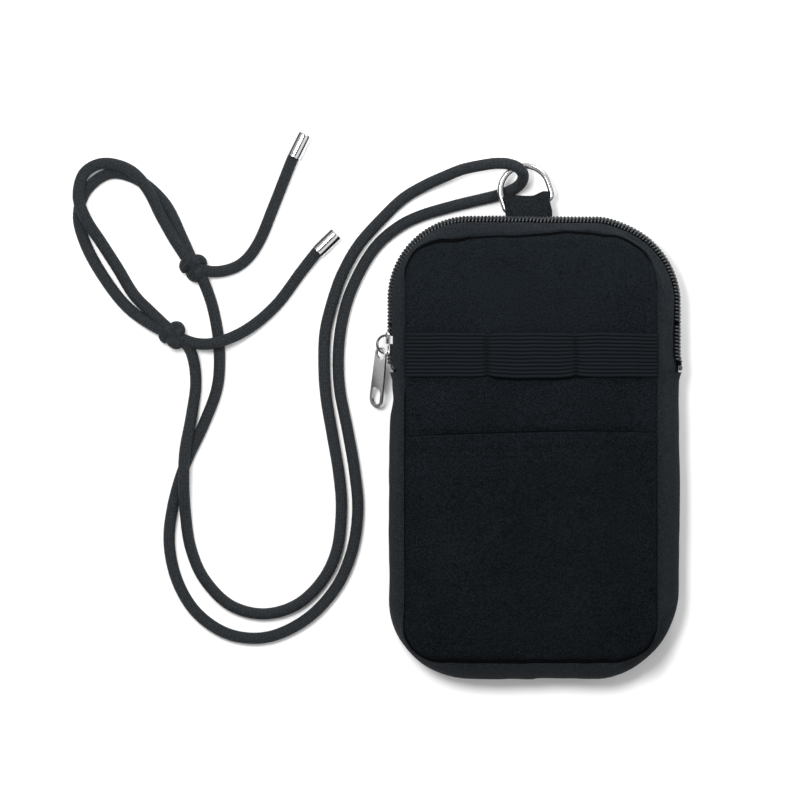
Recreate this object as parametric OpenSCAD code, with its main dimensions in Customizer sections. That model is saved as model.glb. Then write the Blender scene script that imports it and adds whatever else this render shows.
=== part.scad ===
// Neck pouch wallet: a padded zip pouch with an elastic loop band, a slip pocket,
// a D-ring and an adjustable neck cord. It lies on its back, front face up.
// Origin: centre of the back panel's outer face. +Y is the top of the pouch, +Z its front.

/* [Pouch] */
// Width of the pouch across its sides
pouch_w = 114; // [110:1:118]
// Height of the pouch without the ring tab
pouch_h = 180; // [176:1:184]
// Thickness of the filled pouch
pouch_t = 20; // [19:0.5:21]
// Radius of the outline's corners
corner_r = 32; // [30:1:33]
// Distance from the outline in to the panel seams
seam_inset = 8; // [7.5:0.25:8.5]

/* [Fabric] */
// Thickness of the outer fabric of the panels
shell_t = 0.8; // [0.6:0.1:1]
// Thickness of the foam padding
padding_t = 1.8; // [1.4:0.1:2.2]
// Thickness of the lining
lining_t = 0.4; // [0.3:0.1:0.5]
// Thickness of the gusset fabric
gusset_t = 1.2; // [1:0.1:1.2]

/* [Zip] */
// Tilt of the chain above the horizontal, seen from the side
chain_tilt = 20; // [18:1:22]
// Height where the zip ends and the lower gusset starts
zip_end_y = 29.5; // [28:0.5:30]
// Height where the front folds when the pouch opens
fold_y = 48; // [47.5:0.5:50]
// Height of the coil above the tape
coil_h = 1.85; // [1.7:0.05:1.9]

/* [Slider and pull tab] */
// Length of the slider
slider_l = 9; // [8.5:0.1:9.2]
// Where the middle of the slider is at rest
slider_y = 40.9; // [39.5:0.1:42]
// Length of the pull tab
tab_l = 26.4; // [25:0.1:27]
// Width of the pull tab at its tip
tab_w = 6.4; // [6:0.1:6.8]

/* [Front] */
// Lower edge of the elastic band
band_y = 27.6; // [26:0.2:28]
// Width of the elastic band
band_h = 17.4; // [16:0.2:18]
// Top edge of the slip pocket
pocket_y = 6; // [0:1:12]

/* [Ring] */
// Wire diameter of the D-ring
wire_d = 2.6; // [2.2:0.1:2.6]
// Radius of the D-ring's round side, at the middle of the wire
ring_r = 9.6; // [9.4:0.1:9.8]
// Width of the fabric tab that holds the ring
ring_tab_w = 14.8; // [14:0.2:15]

/* [Cord] */
// Diameter of the neck cord
cord_d = 4.5; // [4:0.1:4.5]
// Outer diameter of the cord tips
tip_d = 6.1; // [6:0.1:6.1]
// Length of the cord tips
tip_l = 10.2; // [9.5:0.1:11]

/* [Hidden] */
$fn = 64;

BLACK = [0.09, 0.10, 0.11];
DARK = [0.05, 0.055, 0.06];
METAL = [0.75, 0.76, 0.78];

gap = 0.05;                     // between sewn pieces that touch
half_w = pouch_w / 2;
half_h = pouch_h / 2;
half_t = pouch_t / 2;
panel_w = pouch_w - 2 * seam_inset;
panel_h = pouch_h - 2 * seam_inset;
panel_r = corner_r - seam_inset;

// The gusset is a round bulge: its section is an arc about a line that runs round the pouch.
bulge_r = (half_t * half_t + seam_inset * seam_inset) / (2 * seam_inset);
path_w = half_w - bulge_r;      // half width of that line
path_h = half_h - bulge_r;      // half height of that line
path_r = corner_r - bulge_r;    // its corner radius
turn_x = half_w - corner_r;     // centres of the corners
turn_y = half_h - corner_r;
seam_x = bulge_r - seam_inset + gap;
strip_half = 20.5;              // degrees from the middle of the chain to a strip's edge
tape_r = bulge_r - gusset_t - gap;
tape_t = 0.5;
tape_reach = 36;                // degrees of the tape's outer edge
chain_half = 11;                // degrees of the coil's outer edge
chain_split = 2.5;              // degrees from the middle to a coil's inner edge
coil_r = tape_r + gap;
stop_l = 2;
stop_y = zip_end_y + 0.8;
coil_y = stop_y + stop_l + gap;

// ---- Shapes that repeat ----

module round_rect(w, h, r) {
    square([w - 2 * r, h], center = true);
    square([w, h - 2 * r], center = true);
    for (x = [-1, 1], y = [-1, 1])
        translate([x * (w / 2 - r), y * (h / 2 - r)]) circle(r);
}

module above(y) { translate([-100, y]) square([200, 200]); }
module below(y) { translate([-100, y - 200]) square([200, 200]); }

// A slice of a ring between two angles, seen along the gusset: x is outwards, y is up.
module arc_section(r_out, r_in, from, to) {
    far = 2 * r_out;
    mid = (from + to) / 2;
    intersection() {
        difference() {
            circle(r_out, $fn = 96);
            circle(r_in, $fn = 96);
        }
        polygon([
            [0, 0], far * [cos(from), sin(from)], far * [cos((from + mid) / 2), sin((from + mid) / 2)],
            far * [cos(mid), sin(mid)], far * [cos((to + mid) / 2), sin((to + mid) / 2)],
            far * [cos(to), sin(to)]
        ]);
        translate([seam_x, -far]) square([far, 2 * far]);
    }
}

// Sweeps a section along one straight side, from y0 to y1. side is 1 for the right, -1 for the left.
module along_side(side, y0, y1) {
    mirror([side < 0 ? 1 : 0, 0, 0])
        translate([path_w, y1, half_t]) rotate([90, 0, 0]) linear_extrude(y1 - y0) children();
}

module round_corner(quarter) {
    mirror([quarter.x < 0 ? 1 : 0, 0, 0]) mirror([0, quarter.y < 0 ? 1 : 0, 0])
        translate([turn_x, turn_y, half_t])
            rotate_extrude(angle = 90, $fn = 96) translate([path_r, 0]) children();
}

module along_end(end) {
    mirror([0, end < 0 ? 1 : 0, 0])
        translate([-turn_x, path_h, half_t]) rotate([90, 0, 90]) linear_extrude(2 * turn_x) children();
}

// Sweeps a section up one side from y0, over the top and down the other side.
module over_top(y0) {
    for (side = [-1, 1]) {
        along_side(side, y0, turn_y) children();
        round_corner([side, 1]) children();
    }
    along_end(1) children();
}

module under_bottom(y0) {
    for (side = [-1, 1]) {
        along_side(side, -turn_y, y0) children();
        round_corner([side, -1]) children();
    }
    along_end(-1) children();
}

// The places on the gusset's left side: x outwards through the middle of the chain, y along it.
module at_left_chain(y) {
    translate([-path_w, y, half_t]) rotate([0, 180 + chain_tilt, 0]) children();
}

// ---- Panels ----

module panel_layer(z0, z1, inset = 0) {
    translate([0, 0, z0]) linear_extrude(z1 - z0) intersection() {
        round_rect(panel_w - 2 * inset, panel_h - 2 * inset, panel_r - inset);
        children();
    }
}

module everywhere() { square(400, center = true); }

padding_z = shell_t;
lining_z = shell_t + padding_t;
inner_z = lining_z + lining_t;

module back_panel() {
    color(BLACK) panel_layer(0, shell_t) everywhere();
}
module back_padding() {
    color(DARK) panel_layer(padding_z, lining_z, 1) everywhere();
}
module back_lining() {
    color(DARK) panel_layer(lining_z, inner_z, 1) everywhere();
}

// Tape that binds the seam's raw edges, inside the pouch.
module binding(z0) {
    binding_w = 2.4;
    binding_t = 1;
    translate([0, 0, z0]) linear_extrude(binding_t) intersection() {
        difference() {
            round_rect(panel_w - 2, panel_h - 2, panel_r - 1);
            round_rect(panel_w - 2 - 2 * binding_w, panel_h - 2 - 2 * binding_w, panel_r - 1 - binding_w);
        }
        children();
    }
}
module back_seam_binding() { color(DARK) binding(inner_z) everywhere(); }
module front_seam_binding_lower() { color(DARK) binding(pouch_t - inner_z - 1) below(fold_y); }
module front_seam_binding_upper() { color(DARK) binding(pouch_t - inner_z - 1) above(fold_y + fold_gap); }

fold_gap = 0.3;
module front_panel_lower() {
    color(BLACK) panel_layer(pouch_t - shell_t, pouch_t) below(fold_y);
}
module front_padding_lower() {
    color(DARK) panel_layer(pouch_t - lining_z, pouch_t - padding_z, 1) below(fold_y);
}
module front_lining_lower() {
    color(DARK) panel_layer(pouch_t - inner_z, pouch_t - lining_z, 1) below(fold_y);
}
module front_panel_upper() {
    color(BLACK) panel_layer(pouch_t - shell_t, pouch_t) above(fold_y + fold_gap);
}
module front_padding_upper() {
    color(DARK) panel_layer(pouch_t - lining_z, pouch_t - padding_z, 1) above(fold_y + fold_gap);
}
module front_lining_upper() {
    color(DARK) panel_layer(pouch_t - inner_z, pouch_t - lining_z, 1) above(fold_y + fold_gap);
}

// ---- Gusset and zip ----

module lower_gusset() {
    color(BLACK) under_bottom(zip_end_y) arc_section(bulge_r, bulge_r - gusset_t, -89, 89);
}
module lower_gusset_lining() {
    color(DARK) under_bottom(zip_end_y)
        arc_section(bulge_r - gusset_t - gap, bulge_r - gusset_t - gap - lining_t, -70, 70);
}

module front_strip_section() { arc_section(bulge_r, bulge_r - gusset_t, chain_tilt + strip_half, 89); }
module rear_zip_strip() {
    color(BLACK) over_top(zip_end_y + gap)
        arc_section(bulge_r, bulge_r - gusset_t, -89, chain_tilt - strip_half);
}
module front_zip_strip_lower() {
    color(BLACK) for (side = [-1, 1])
        along_side(side, zip_end_y + gap, fold_y) front_strip_section();
}
module front_zip_strip_upper() {
    color(BLACK) over_top(fold_y + fold_gap) front_strip_section();
}

module front_tape_section() {
    arc_section(tape_r, tape_r - tape_t, chain_tilt + chain_split, chain_tilt + tape_reach);
}
module rear_tape_section() {
    arc_section(tape_r, tape_r - tape_t, chain_tilt - tape_reach, chain_tilt - chain_split);
}
module zip_tape_rear() { color(DARK) over_top(zip_end_y + gap) rear_tape_section(); }
module zip_tape_front_lower() {
    color(DARK) for (side = [-1, 1])
        along_side(side, zip_end_y + gap, fold_y) front_tape_section();
}
module zip_tape_front_upper() { color(DARK) over_top(fold_y + fold_gap) front_tape_section(); }

module front_coil_section() {
    arc_section(coil_r + coil_h, coil_r, chain_tilt + chain_split, chain_tilt + chain_half);
}
module zip_coil_rear() {
    color(DARK) over_top(coil_y)
        arc_section(coil_r + coil_h, coil_r, chain_tilt - chain_half, chain_tilt - chain_split);
}
module zip_coil_front_lower() {
    color(DARK) for (side = [-1, 1]) along_side(side, coil_y, fold_y) front_coil_section();
}
module zip_coil_front_upper() { color(DARK) over_top(fold_y + fold_gap) front_coil_section(); }

// Clamps on each coil at the left end, and one clamp over both at the right end.
module zip_top_stops() {
    color(METAL) for (from = [chain_tilt - chain_half, chain_tilt + chain_split])
        along_side(-1, stop_y, stop_y + stop_l)
            arc_section(coil_r + coil_h, coil_r, from, from + chain_half - chain_split);
}
module zip_bottom_stop() {
    color(METAL) along_side(1, stop_y, stop_y + stop_l)
        arc_section(coil_r + coil_h, coil_r, chain_tilt - chain_half, chain_tilt + chain_half);
}

// ---- Slider and pull tab ----

slider_half_w = 2.95;
flange_t = 0.75;
inner_plate_r = 7.0;
inner_plate_t = 0.8;
outer_plate_r = coil_r + coil_h + 0.2;
outer_plate_t = 0.9;
flange_r = tape_r - 0.05;
post_t = 0.5;
bail_r = 3.8;                   // outer radius of the pull tab's bail
bail_t = 0.65;
bail_w = 0.8;
bail_y = -0.6;

module slider_plate(r, t) {
    half_l = slider_l / 2;
    nose = 2;
    translate([r, 0, 0]) rotate([0, 90, 0]) linear_extrude(t) polygon([
        [slider_half_w - nose, -half_l], [slider_half_w, nose - half_l],
        [slider_half_w, half_l - nose], [slider_half_w - nose, half_l],
        [nose - slider_half_w, half_l], [-slider_half_w, half_l - nose],
        [-slider_half_w, nose - half_l], [nose - slider_half_w, -half_l]
    ]);
}

module slider_body() {
    flange_l = slider_l - 2.4;
    post_l = 2;
    color(METAL) at_left_chain(slider_y) {
        slider_plate(outer_plate_r, outer_plate_t);
        slider_plate(inner_plate_r, inner_plate_t);
        for (side = [-1, 1])
            translate([flange_r, -flange_l / 2, side > 0 ? slider_half_w - flange_t : -slider_half_w])
                cube([outer_plate_r - flange_r + 0.1, flange_l, flange_t]);
        translate([inner_plate_r + 0.1, 0.5 - slider_l / 2, -post_t / 2])
            cube([outer_plate_r - inner_plate_r, post_l, post_t]);
        translate([outer_plate_r + outer_plate_t - 0.1, bail_y, -bail_w / 2])
            linear_extrude(bail_w) intersection() {
                difference() {
                    circle(bail_r);
                    circle(bail_r - bail_t);
                }
                translate([0, -10]) square([10, 20]);
            }
    }
}

tab_t = 0.9;
tab_roll = 40;                  // the tab lies with its right edge up,
tab_drop = 28;                  // its tip down on the table
tab_yaw = -6;                   // and a little outwards
eye_bar = 0.8;                  // the bar of the tab's eye, which hangs in the bail
eye_w = 4;
eye_l = 4.2;
tab_angle = -40;                // where the eye's bar rests in the bail
tab_r = bail_r - bail_t - eye_bar / 2 - 0.35;
tab_x = outer_plate_r + outer_plate_t - 0.1 + tab_r * cos(tab_angle);
tab_y = bail_y + tab_r * sin(tab_angle);

module slot(w, l) {
    translate([0, (l - w) / 2]) circle(w / 2);
    translate([0, (w - l) / 2]) circle(w / 2);
    square([w, l - w], center = true);
}

module pull_tab_shape() {
    tip_r = tab_w / 2;
    head_w = 5.4;
    difference() {
        union() {
            translate([0, tip_r + eye_bar / 2 - tab_l]) circle(tip_r);
            translate([0, eye_bar / 2 - head_w / 2]) circle(head_w / 2);
            polygon([
                [-head_w / 2, eye_bar / 2 - head_w / 2], [-tip_r, tip_r + eye_bar / 2 - tab_l],
                [tip_r, tip_r + eye_bar / 2 - tab_l], [head_w / 2, eye_bar / 2 - head_w / 2]
            ]);
        }
        translate([0, -eye_bar / 2 - eye_l / 2]) slot(eye_w, eye_l);
        translate([0, -tab_l + 5.6]) slot(4.2, 7.4);
    }
}

module pull_tab() {
    color(METAL) at_left_chain(slider_y) translate([tab_x, tab_y, 0])
        rotate([0, -180 - chain_tilt, 0])
            rotate([0, 0, tab_yaw]) rotate([tab_drop, 0, 0]) rotate([0, -tab_roll, 0])
                translate([0, 0, -tab_t / 2]) linear_extrude(tab_t) pull_tab_shape();
}

// ---- Front band and pocket ----

band_t = 1.1;
band_z = pouch_t + gap;
stitch_x = [-19.5, 15.8];

module elastic_band() {
    color(BLACK) translate([-panel_w / 2, band_y, band_z]) cube([panel_w, band_h, band_t]);
}

module band_stitches() {
    stitch_l = 2.1;
    stitch_d = 0.5;
    count = 6;
    pitch = band_h / count;
    color(DARK) for (x = stitch_x, i = [0:count - 1])
        translate([x, band_y + (i + 0.5) * pitch - stitch_l / 2, band_z + band_t + gap + stitch_d / 2])
            rotate([-90, 0, 0]) cylinder(d = stitch_d, h = stitch_l, $fn = 16);
}

module slip_pocket() {
    rim = 2;
    room = 0.7;
    cloth_t = 0.6;
    color(BLACK) difference() {
        panel_layer(band_z, band_z + room + cloth_t) below(pocket_y);
        translate([0, 0, band_z - 1]) linear_extrude(room + 1) intersection() {
            round_rect(panel_w - 2 * rim, panel_h - 2 * rim, panel_r - rim);
            below(pocket_y + 1);
        }
    }
}

// ---- Ring and its tab ----

ring_x = -3.8;
ring_y = 100.4;
ring_z = 7.2;
ring_lean = 18;                 // degrees that the ring's bar leans from the X axis
bar_drop = 6;                   // from the middle of the round side to the bar
ring_bend = 2;

module at_ring_bar() {
    translate([ring_x, ring_y, ring_z]) rotate([0, 0, ring_lean]) translate([0, -bar_drop, 0]) children();
}

module wire_bend(r, angle) {
    rotate_extrude(angle = angle, $fn = 64) translate([r, 0]) circle(d = wire_d, $fn = 32);
}

module d_ring() {
    straight = 2 * (ring_r - ring_bend);
    color(METAL) at_ring_bar() {
        translate([-straight / 2, 0, 0]) rotate([0, 90, 0]) cylinder(d = wire_d, h = straight, $fn = 32);
        translate([0, bar_drop, 0]) wire_bend(ring_r, 180);
        for (side = [-1, 1]) {
            translate([side * ring_r, ring_bend, 0])
                rotate([-90, 0, 0]) cylinder(d = wire_d, h = bar_drop - ring_bend, $fn = 32);
            translate([side * (ring_r - ring_bend), ring_bend, 0])
                rotate([0, 0, side > 0 ? -90 : 180]) wire_bend(ring_bend, 90);
        }
    }
}

// The tab is a loop that the ring's bar lies in loosely, nearer its sewn end on the left.
module ring_tab() {
    strap_t = 0.8;
    fold_in = wire_d / 2 + 0.25;
    fold_out = fold_in + strap_t;
    leg = 10;
    fold_x = -2.6;
    fold_line = 96;
    fold_lean = 7;
    color(BLACK) difference() {
        translate([fold_x, fold_line, ring_z]) rotate([90, 0, 90 + fold_lean]) translate([0, 0, -ring_tab_w / 2])
            linear_extrude(ring_tab_w) difference() {
                union() {
                    circle(fold_out);
                    translate([-leg, -fold_out]) square([leg, 2 * fold_out]);
                }
                circle(fold_in);
                translate([-leg - 1, -fold_in]) square([leg + 1, 2 * fold_in]);
            }
        translate([-50, path_h, half_t]) rotate([0, 90, 0]) cylinder(r = bulge_r + gap, h = 100, $fn = 96);
    }
}

// ---- Neck cord ----
// The two halves of one cord. Each runs from the ring to its own end and is knotted round the other.

cord_r = cord_d / 2;
bight_route = [
    [-17.9, 97.7, 2.4], [-14.2, 98.7, 2.4], [-9.7, 100.2, 3.1], [-5.9, 102.6, 5.2], [-4.5, 105.4, 8.1],
    [-5, 107.5, 10.2], [-7, 109.4, 11.4], [-10.7, 110.6, 11.8], [-15.2, 110.8, 11.3], [-20.1, 110.2, 10.2]
];
strand_a_route = [
    [-20.4, 110.1, 10.2], [-28, 108.6, 7.6], [-35, 105.9, 5.2], [-43, 102.3, 3.1], [-51.2, 97.4, 2.4],
    [-59, 90, 2.3], [-68, 80, 2.3], [-74, 70, 2.3], [-78, 60, 2.3], [-81.6, 46, 2.3], [-82.2, 33, 2.3],
    [-81.4, 20, 2.3], [-78.9, 5, 2.3], [-76.4, -10, 2.3], [-75.4, -24, 2.3], [-77.2, -40, 2.3],
    [-83, -52, 2.3], [-93, -61.3, 2.3], [-106, -64.8, 2.3], [-119, -61.2, 2.3], [-129, -51, 2.3],
    [-134.2, -39, 2.4], [-136.2, -26, 3.5], [-136.8, -13, 6.9], [-136.3, -1, 6.7], [-134, 12, 3.1],
    [-132.2, 26, 2.3], [-134.3, 38, 4], [-140.7, 44.5, 5.4], [-149.5, 52.8, 3.6], [-156.5, 60, 2.5],
    [-162.6, 70, 2.5], [-169, 80, 3.4], [-174.8, 89, 6], [-177.9, 98, 6.7], [-175.6, 107.2, 5.5],
    [-168, 111, 5.2], [-158, 108.4, 6.2], [-151, 101, 6.8], [-145.4, 90, 4.6], [-139, 79, 5],
    [-132.6, 71, 5.4], [-124, 68.8, 3.2], [-114.6, 71.8, 2.3], [-107.8, 80, 2.3], [-101.5, 95, 2.3],
    [-94.2, 113.4, 3.1], [-90.2, 121.4, 3.1]
];
strand_b_route = [
    [-18.2, 97.6, 2.4], [-31, 94.6, 2.3], [-44, 90.8, 2.3], [-53, 86.4, 2.3], [-61.6, 79, 2.3],
    [-68.6, 68, 2.3], [-73.8, 55, 2.3], [-76.4, 40, 2.3], [-76.2, 24, 2.3], [-73.2, 8, 2.3],
    [-70.4, -8, 2.3], [-69, -24, 2.3], [-71.2, -40, 2.3], [-77.5, -54.5, 2.3], [-89, -66.8, 2.3],
    [-104, -73.8, 2.3], [-119, -72.8, 2.3], [-131.6, -64.6, 2.3], [-139.4, -52, 2.3], [-142.6, -37, 2.3],
    [-141, -22, 2.3], [-136.4, -6.5, 2.3], [-129, 9.5, 2.3], [-123.8, 24, 2.3], [-123.1, 39, 2.3],
    [-125.4, 54, 2.4], [-129.6, 66, 4.2], [-134, 74, 4.6], [-137.6, 82, 2.4], [-144, 95, 2.3],
    [-154, 104.2, 2.3], [-165.4, 107.2, 2.3], [-174.6, 101, 2.3], [-178, 91, 2.3], [-175.4, 80, 2.3],
    [-169, 68, 2.3], [-160, 56, 2.4], [-150.4, 48.6, 3.8], [-140.9, 44, 5.4], [-131.6, 40.7, 5.6],
    [-122.8, 41.4, 6.9], [-111.6, 46.6, 3.7], [-100.6, 56, 2.3], [-91.4, 68.2, 2.5],
    [-84.8, 76.6, 3.1], [-79.6, 81.7, 3.1]
];

function unit(v) = v / norm(v);
function heading(route, i) =
    unit(route[min(i + 1, len(route) - 1)] - route[max(i - 1, 0)]);
// A ring of points about p, square to the direction t, which is never upright.
function cord_ring(p, t, sides) =
    let (across = unit(cross(t, [0, 0, 1])), up = cross(across, t))
    [for (k = [0:sides - 1]) p + cord_r * (cos(360 * k / sides) * across + sin(360 * k / sides) * up)];

module cord_tube(route, first = undef, last = undef, sides = 8) {
    n = len(route);
    directions = [
        for (i = [0:n - 1])
            i == 0 && first != undef ? first : i == n - 1 && last != undef ? last : heading(route, i)
    ];
    points = [for (i = [0:n - 1]) each cord_ring(route[i], directions[i], sides)];
    walls = [
        for (i = [0:n - 2], k = [0:sides - 1])
            let (a = i * sides + k, b = i * sides + (k + 1) % sides)
            each [[a, b, a + sides], [b, b + sides, a + sides]]
    ];
    caps = [
        [for (k = [sides - 1:-1:0]) k],
        [for (k = [0:sides - 1]) (n - 1) * sides + k]
    ];
    color(DARK) polyhedron(points, concat(walls, caps));
}

ring_axis = [cos(ring_lean), sin(ring_lean), 0];
module cord_bight() { cord_tube(bight_route, first = ring_axis, last = -ring_axis); }
module cord_strand_a() { cord_tube(strand_a_route, first = -ring_axis); }
module cord_strand_b() { cord_tube(strand_b_route, first = -ring_axis); }

module knot(place, yaw) {
    knot_r = 5.2;
    half_l = 4.4;
    edge = 2.2;
    color(DARK) translate(place) rotate([0, 90, yaw]) rotate_extrude() intersection() {
        round_rect(2 * knot_r, 2 * half_l, edge);
        translate([0, -20]) square([20, 40]);
    }
}
module knot_upper() { knot([-132.7, 70.4, 5.4], 125); }
module knot_lower() { knot([-140.7, 44.3, 5.4], 140); }

// A metal cap on the end of the cord, bored for it and closed at its far end.
module cord_tip(foot, yaw) {
    cap = 1.2;
    color(METAL) translate(foot) rotate([0, 90, yaw]) difference() {
        cylinder(d = tip_d, h = tip_l);
        translate([0, 0, -1]) cylinder(r = cord_r + 0.05, h = tip_l - cap + 1);
    }
}
module cord_tip_a() { cord_tip([-94.2, 113.4, 3.1], 63.5); }
module cord_tip_b() { cord_tip([-84.8, 76.6, 3.1], 44.5); }

back_panel();
back_padding();
back_lining();
back_seam_binding();
front_panel_lower();
front_padding_lower();
front_lining_lower();
front_seam_binding_lower();
front_panel_upper();
front_padding_upper();
front_lining_upper();
front_seam_binding_upper();
lower_gusset();
lower_gusset_lining();
rear_zip_strip();
front_zip_strip_lower();
front_zip_strip_upper();
zip_tape_rear();
zip_tape_front_lower();
zip_tape_front_upper();
zip_coil_rear();
zip_coil_front_lower();
zip_coil_front_upper();
zip_top_stops();
zip_bottom_stop();
slider_body();
pull_tab();
elastic_band();
band_stitches();
slip_pocket();
ring_tab();
d_ring();
cord_bight();
cord_strand_a();
cord_strand_b();
knot_upper();
knot_lower();
cord_tip_a();
cord_tip_b();
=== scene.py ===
"""Neck pouch wallet: the pieces, materials, light and camera built round the CAD frame.

Lengths in this script are millimetres until a mesh is made; MM turns them into metres.
"""

import math

import bmesh
import bpy
import numpy as np
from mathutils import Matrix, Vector, noise


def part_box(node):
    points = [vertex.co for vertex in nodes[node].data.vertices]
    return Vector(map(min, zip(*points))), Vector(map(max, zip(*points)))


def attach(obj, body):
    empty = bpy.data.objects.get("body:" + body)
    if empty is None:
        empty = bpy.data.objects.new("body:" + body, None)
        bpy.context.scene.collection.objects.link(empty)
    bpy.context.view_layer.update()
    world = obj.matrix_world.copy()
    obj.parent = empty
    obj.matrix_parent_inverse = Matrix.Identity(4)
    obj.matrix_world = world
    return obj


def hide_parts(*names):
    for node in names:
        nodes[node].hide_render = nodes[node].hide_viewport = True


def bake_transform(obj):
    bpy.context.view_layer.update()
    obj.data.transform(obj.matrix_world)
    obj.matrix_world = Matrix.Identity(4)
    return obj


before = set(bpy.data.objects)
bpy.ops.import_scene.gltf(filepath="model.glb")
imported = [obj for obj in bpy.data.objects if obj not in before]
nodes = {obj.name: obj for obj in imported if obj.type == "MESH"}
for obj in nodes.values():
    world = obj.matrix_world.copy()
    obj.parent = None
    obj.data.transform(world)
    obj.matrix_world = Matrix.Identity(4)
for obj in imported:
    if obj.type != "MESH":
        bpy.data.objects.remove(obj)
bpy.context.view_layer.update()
scene = bpy.context.scene

MM = 0.001
TAU = 2 * math.pi
CORD_D = 4.5

# ---------------------------------------------------------------- the frame's measures
HALF_T = 10.0  # half the pouch's thickness, and the height of the gusset's middle
BULGE_R = 10.25  # radius of the gusset's round section
PATH_W, PATH_H, PATH_R = 46.75, 79.75, 21.75  # half spans and corner of the line it is swept along
CORNER_X, CORNER_Y = PATH_W - PATH_R, PATH_H - PATH_R
SEAM_OFF = 2.25  # from that line out to the panel seams
SEAM_ANGLE = math.degrees(math.acos(SEAM_OFF / BULGE_R))
ZIP_END_Y = 29.5
CHAIN_ANGLE = 20.0
CHAIN_TURN = 11.0  # how much further back the chain lies on the right side
STRIP_EDGE = 16.6  # from the chain's middle to each strip's edge, in degrees
GUSSET_T = 1.2


# ---------------------------------------------------------------- small helpers
def ramp(t):
    t = min(max(t, 0.0), 1.0)
    return t * t * (3 - 2 * t)


def aramp(t):
    t = np.clip(t, 0.0, 1.0)
    return t * t * (3 - 2 * t)


def bump_at(x, middle, width):
    return math.exp(-(((x - middle) / width) ** 2))


def rough(x, y, z, scale, seed=0.0):
    return noise.noise(Vector((x / scale + seed, y / scale - seed, z / scale + 2.3 * seed)))


def finish_mesh(name, verts, faces, uvs=None, angle=50):
    mesh = bpy.data.meshes.new(name)
    mesh.from_pydata([(x * MM, y * MM, z * MM) for x, y, z in verts], [], faces)
    if uvs is not None:
        layer = mesh.uv_layers.new(name="weave")
        index = np.empty(len(mesh.loops), int)
        mesh.loops.foreach_get("vertex_index", index)
        layer.data.foreach_set("uv", (np.asarray(uvs, float)[index] * MM).ravel())
    bm = bmesh.new()
    bm.from_mesh(mesh)
    bmesh.ops.recalc_face_normals(bm, faces=bm.faces)
    bm.to_mesh(mesh)
    bm.free()
    mesh.shade_smooth()
    mesh.set_sharp_from_angle(angle=math.radians(angle))
    obj = bpy.data.objects.new(name, mesh)
    scene.collection.objects.link(obj)
    return obj


def sheet_faces(rows, cols):
    """Faces of a closed sheet: a grid of points, the same grid under it, and the rim between."""
    under = rows * cols

    def at(i, j):
        return i * cols + j

    faces = []
    for i in range(rows - 1):
        for j in range(cols - 1):
            a, b, c, d = at(i, j), at(i, j + 1), at(i + 1, j + 1), at(i + 1, j)
            faces.append((a, b, c, d))
            faces.append((d + under, c + under, b + under, a + under))
    rim = [at(0, j) for j in range(cols)] + [at(i, cols - 1) for i in range(1, rows)]
    rim += [at(rows - 1, j) for j in range(cols - 2, -1, -1)] + [at(i, 0) for i in range(rows - 2, 0, -1)]
    for a, b in zip(rim, rim[1:] + rim[:1]):
        faces.append((b, a, a + under, b + under))
    return faces


def slab(name, top, bottom, uv=None, angle=50):
    """A closed sheet between two grids of points."""
    top, bottom = np.asarray(top, float), np.asarray(bottom, float)
    verts = np.concatenate([top.reshape(-1, 3), bottom.reshape(-1, 3)])
    faces = sheet_faces(*top.shape[:2])
    if uv is None:
        flat = verts[:, :2]
    else:
        one = np.asarray(uv, float).reshape(-1, 2)
        flat = np.concatenate([one, one])
    return finish_mesh(name, verts, faces, flat, angle)


def side_vectors(points):
    """Tangents and steady side vectors along a line of points."""
    points = np.asarray(points, float)
    tangent = np.gradient(points, axis=0)
    tangent /= np.linalg.norm(tangent, axis=1)[:, None]
    side = np.cross(tangent[0], (0, 0, 1.0))
    if np.linalg.norm(side) < 1e-3:
        side = np.array((1.0, 0, 0))
    sides = []
    for t in tangent:
        side = side - t * np.dot(side, t)
        side = side / np.linalg.norm(side)
        sides.append(side.copy())
    return tangent, np.array(sides)


def ring_faces(rings, count):
    """Faces between rings of points that follow each other."""
    faces = []
    for i in range(rings - 1):
        for k in range(count):
            n = (k + 1) % count
            faces.append((i * count + k, i * count + n, (i + 1) * count + n, (i + 1) * count + k))
    return faces


def tube_parts(points, radii, count, squash=(1.0, 1.0), round_ends=True):
    """Vertices, faces and running length of a tube along points; small caps close its ends."""
    points = np.asarray(points, float)
    radii = np.broadcast_to(np.asarray(radii, float), (len(points),)).copy()
    tangent, sides = side_vectors(points)
    ups = np.cross(sides, tangent)
    run = np.concatenate([[0], np.cumsum(np.linalg.norm(np.diff(points, axis=0), axis=1))])
    verts, faces = [], []
    for p, s, u, r in zip(points, sides, ups, radii):
        for k in range(count):
            a = TAU * k / count
            verts.append(p + r * (squash[0] * math.cos(a) * s + squash[1] * math.sin(a) * u))
    faces += ring_faces(len(points), count)
    for end, way in ((0, -1), (len(points) - 1, 1)):
        base = end * count
        bulge = 0.35 * radii[end] * way if round_ends else 0.0
        inner = len(verts)
        for k in range(count):
            verts.append(points[end] + tangent[end] * bulge * 0.8 + (verts[base + k] - points[end]) * 0.6)
        tip = len(verts)
        verts.append(points[end] + tangent[end] * bulge)
        for k in range(count):
            n = (k + 1) % count
            faces.append((base + k, base + n, inner + n, inner + k))
            faces.append((inner + k, inner + n, tip))
    return verts, faces, run


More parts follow.
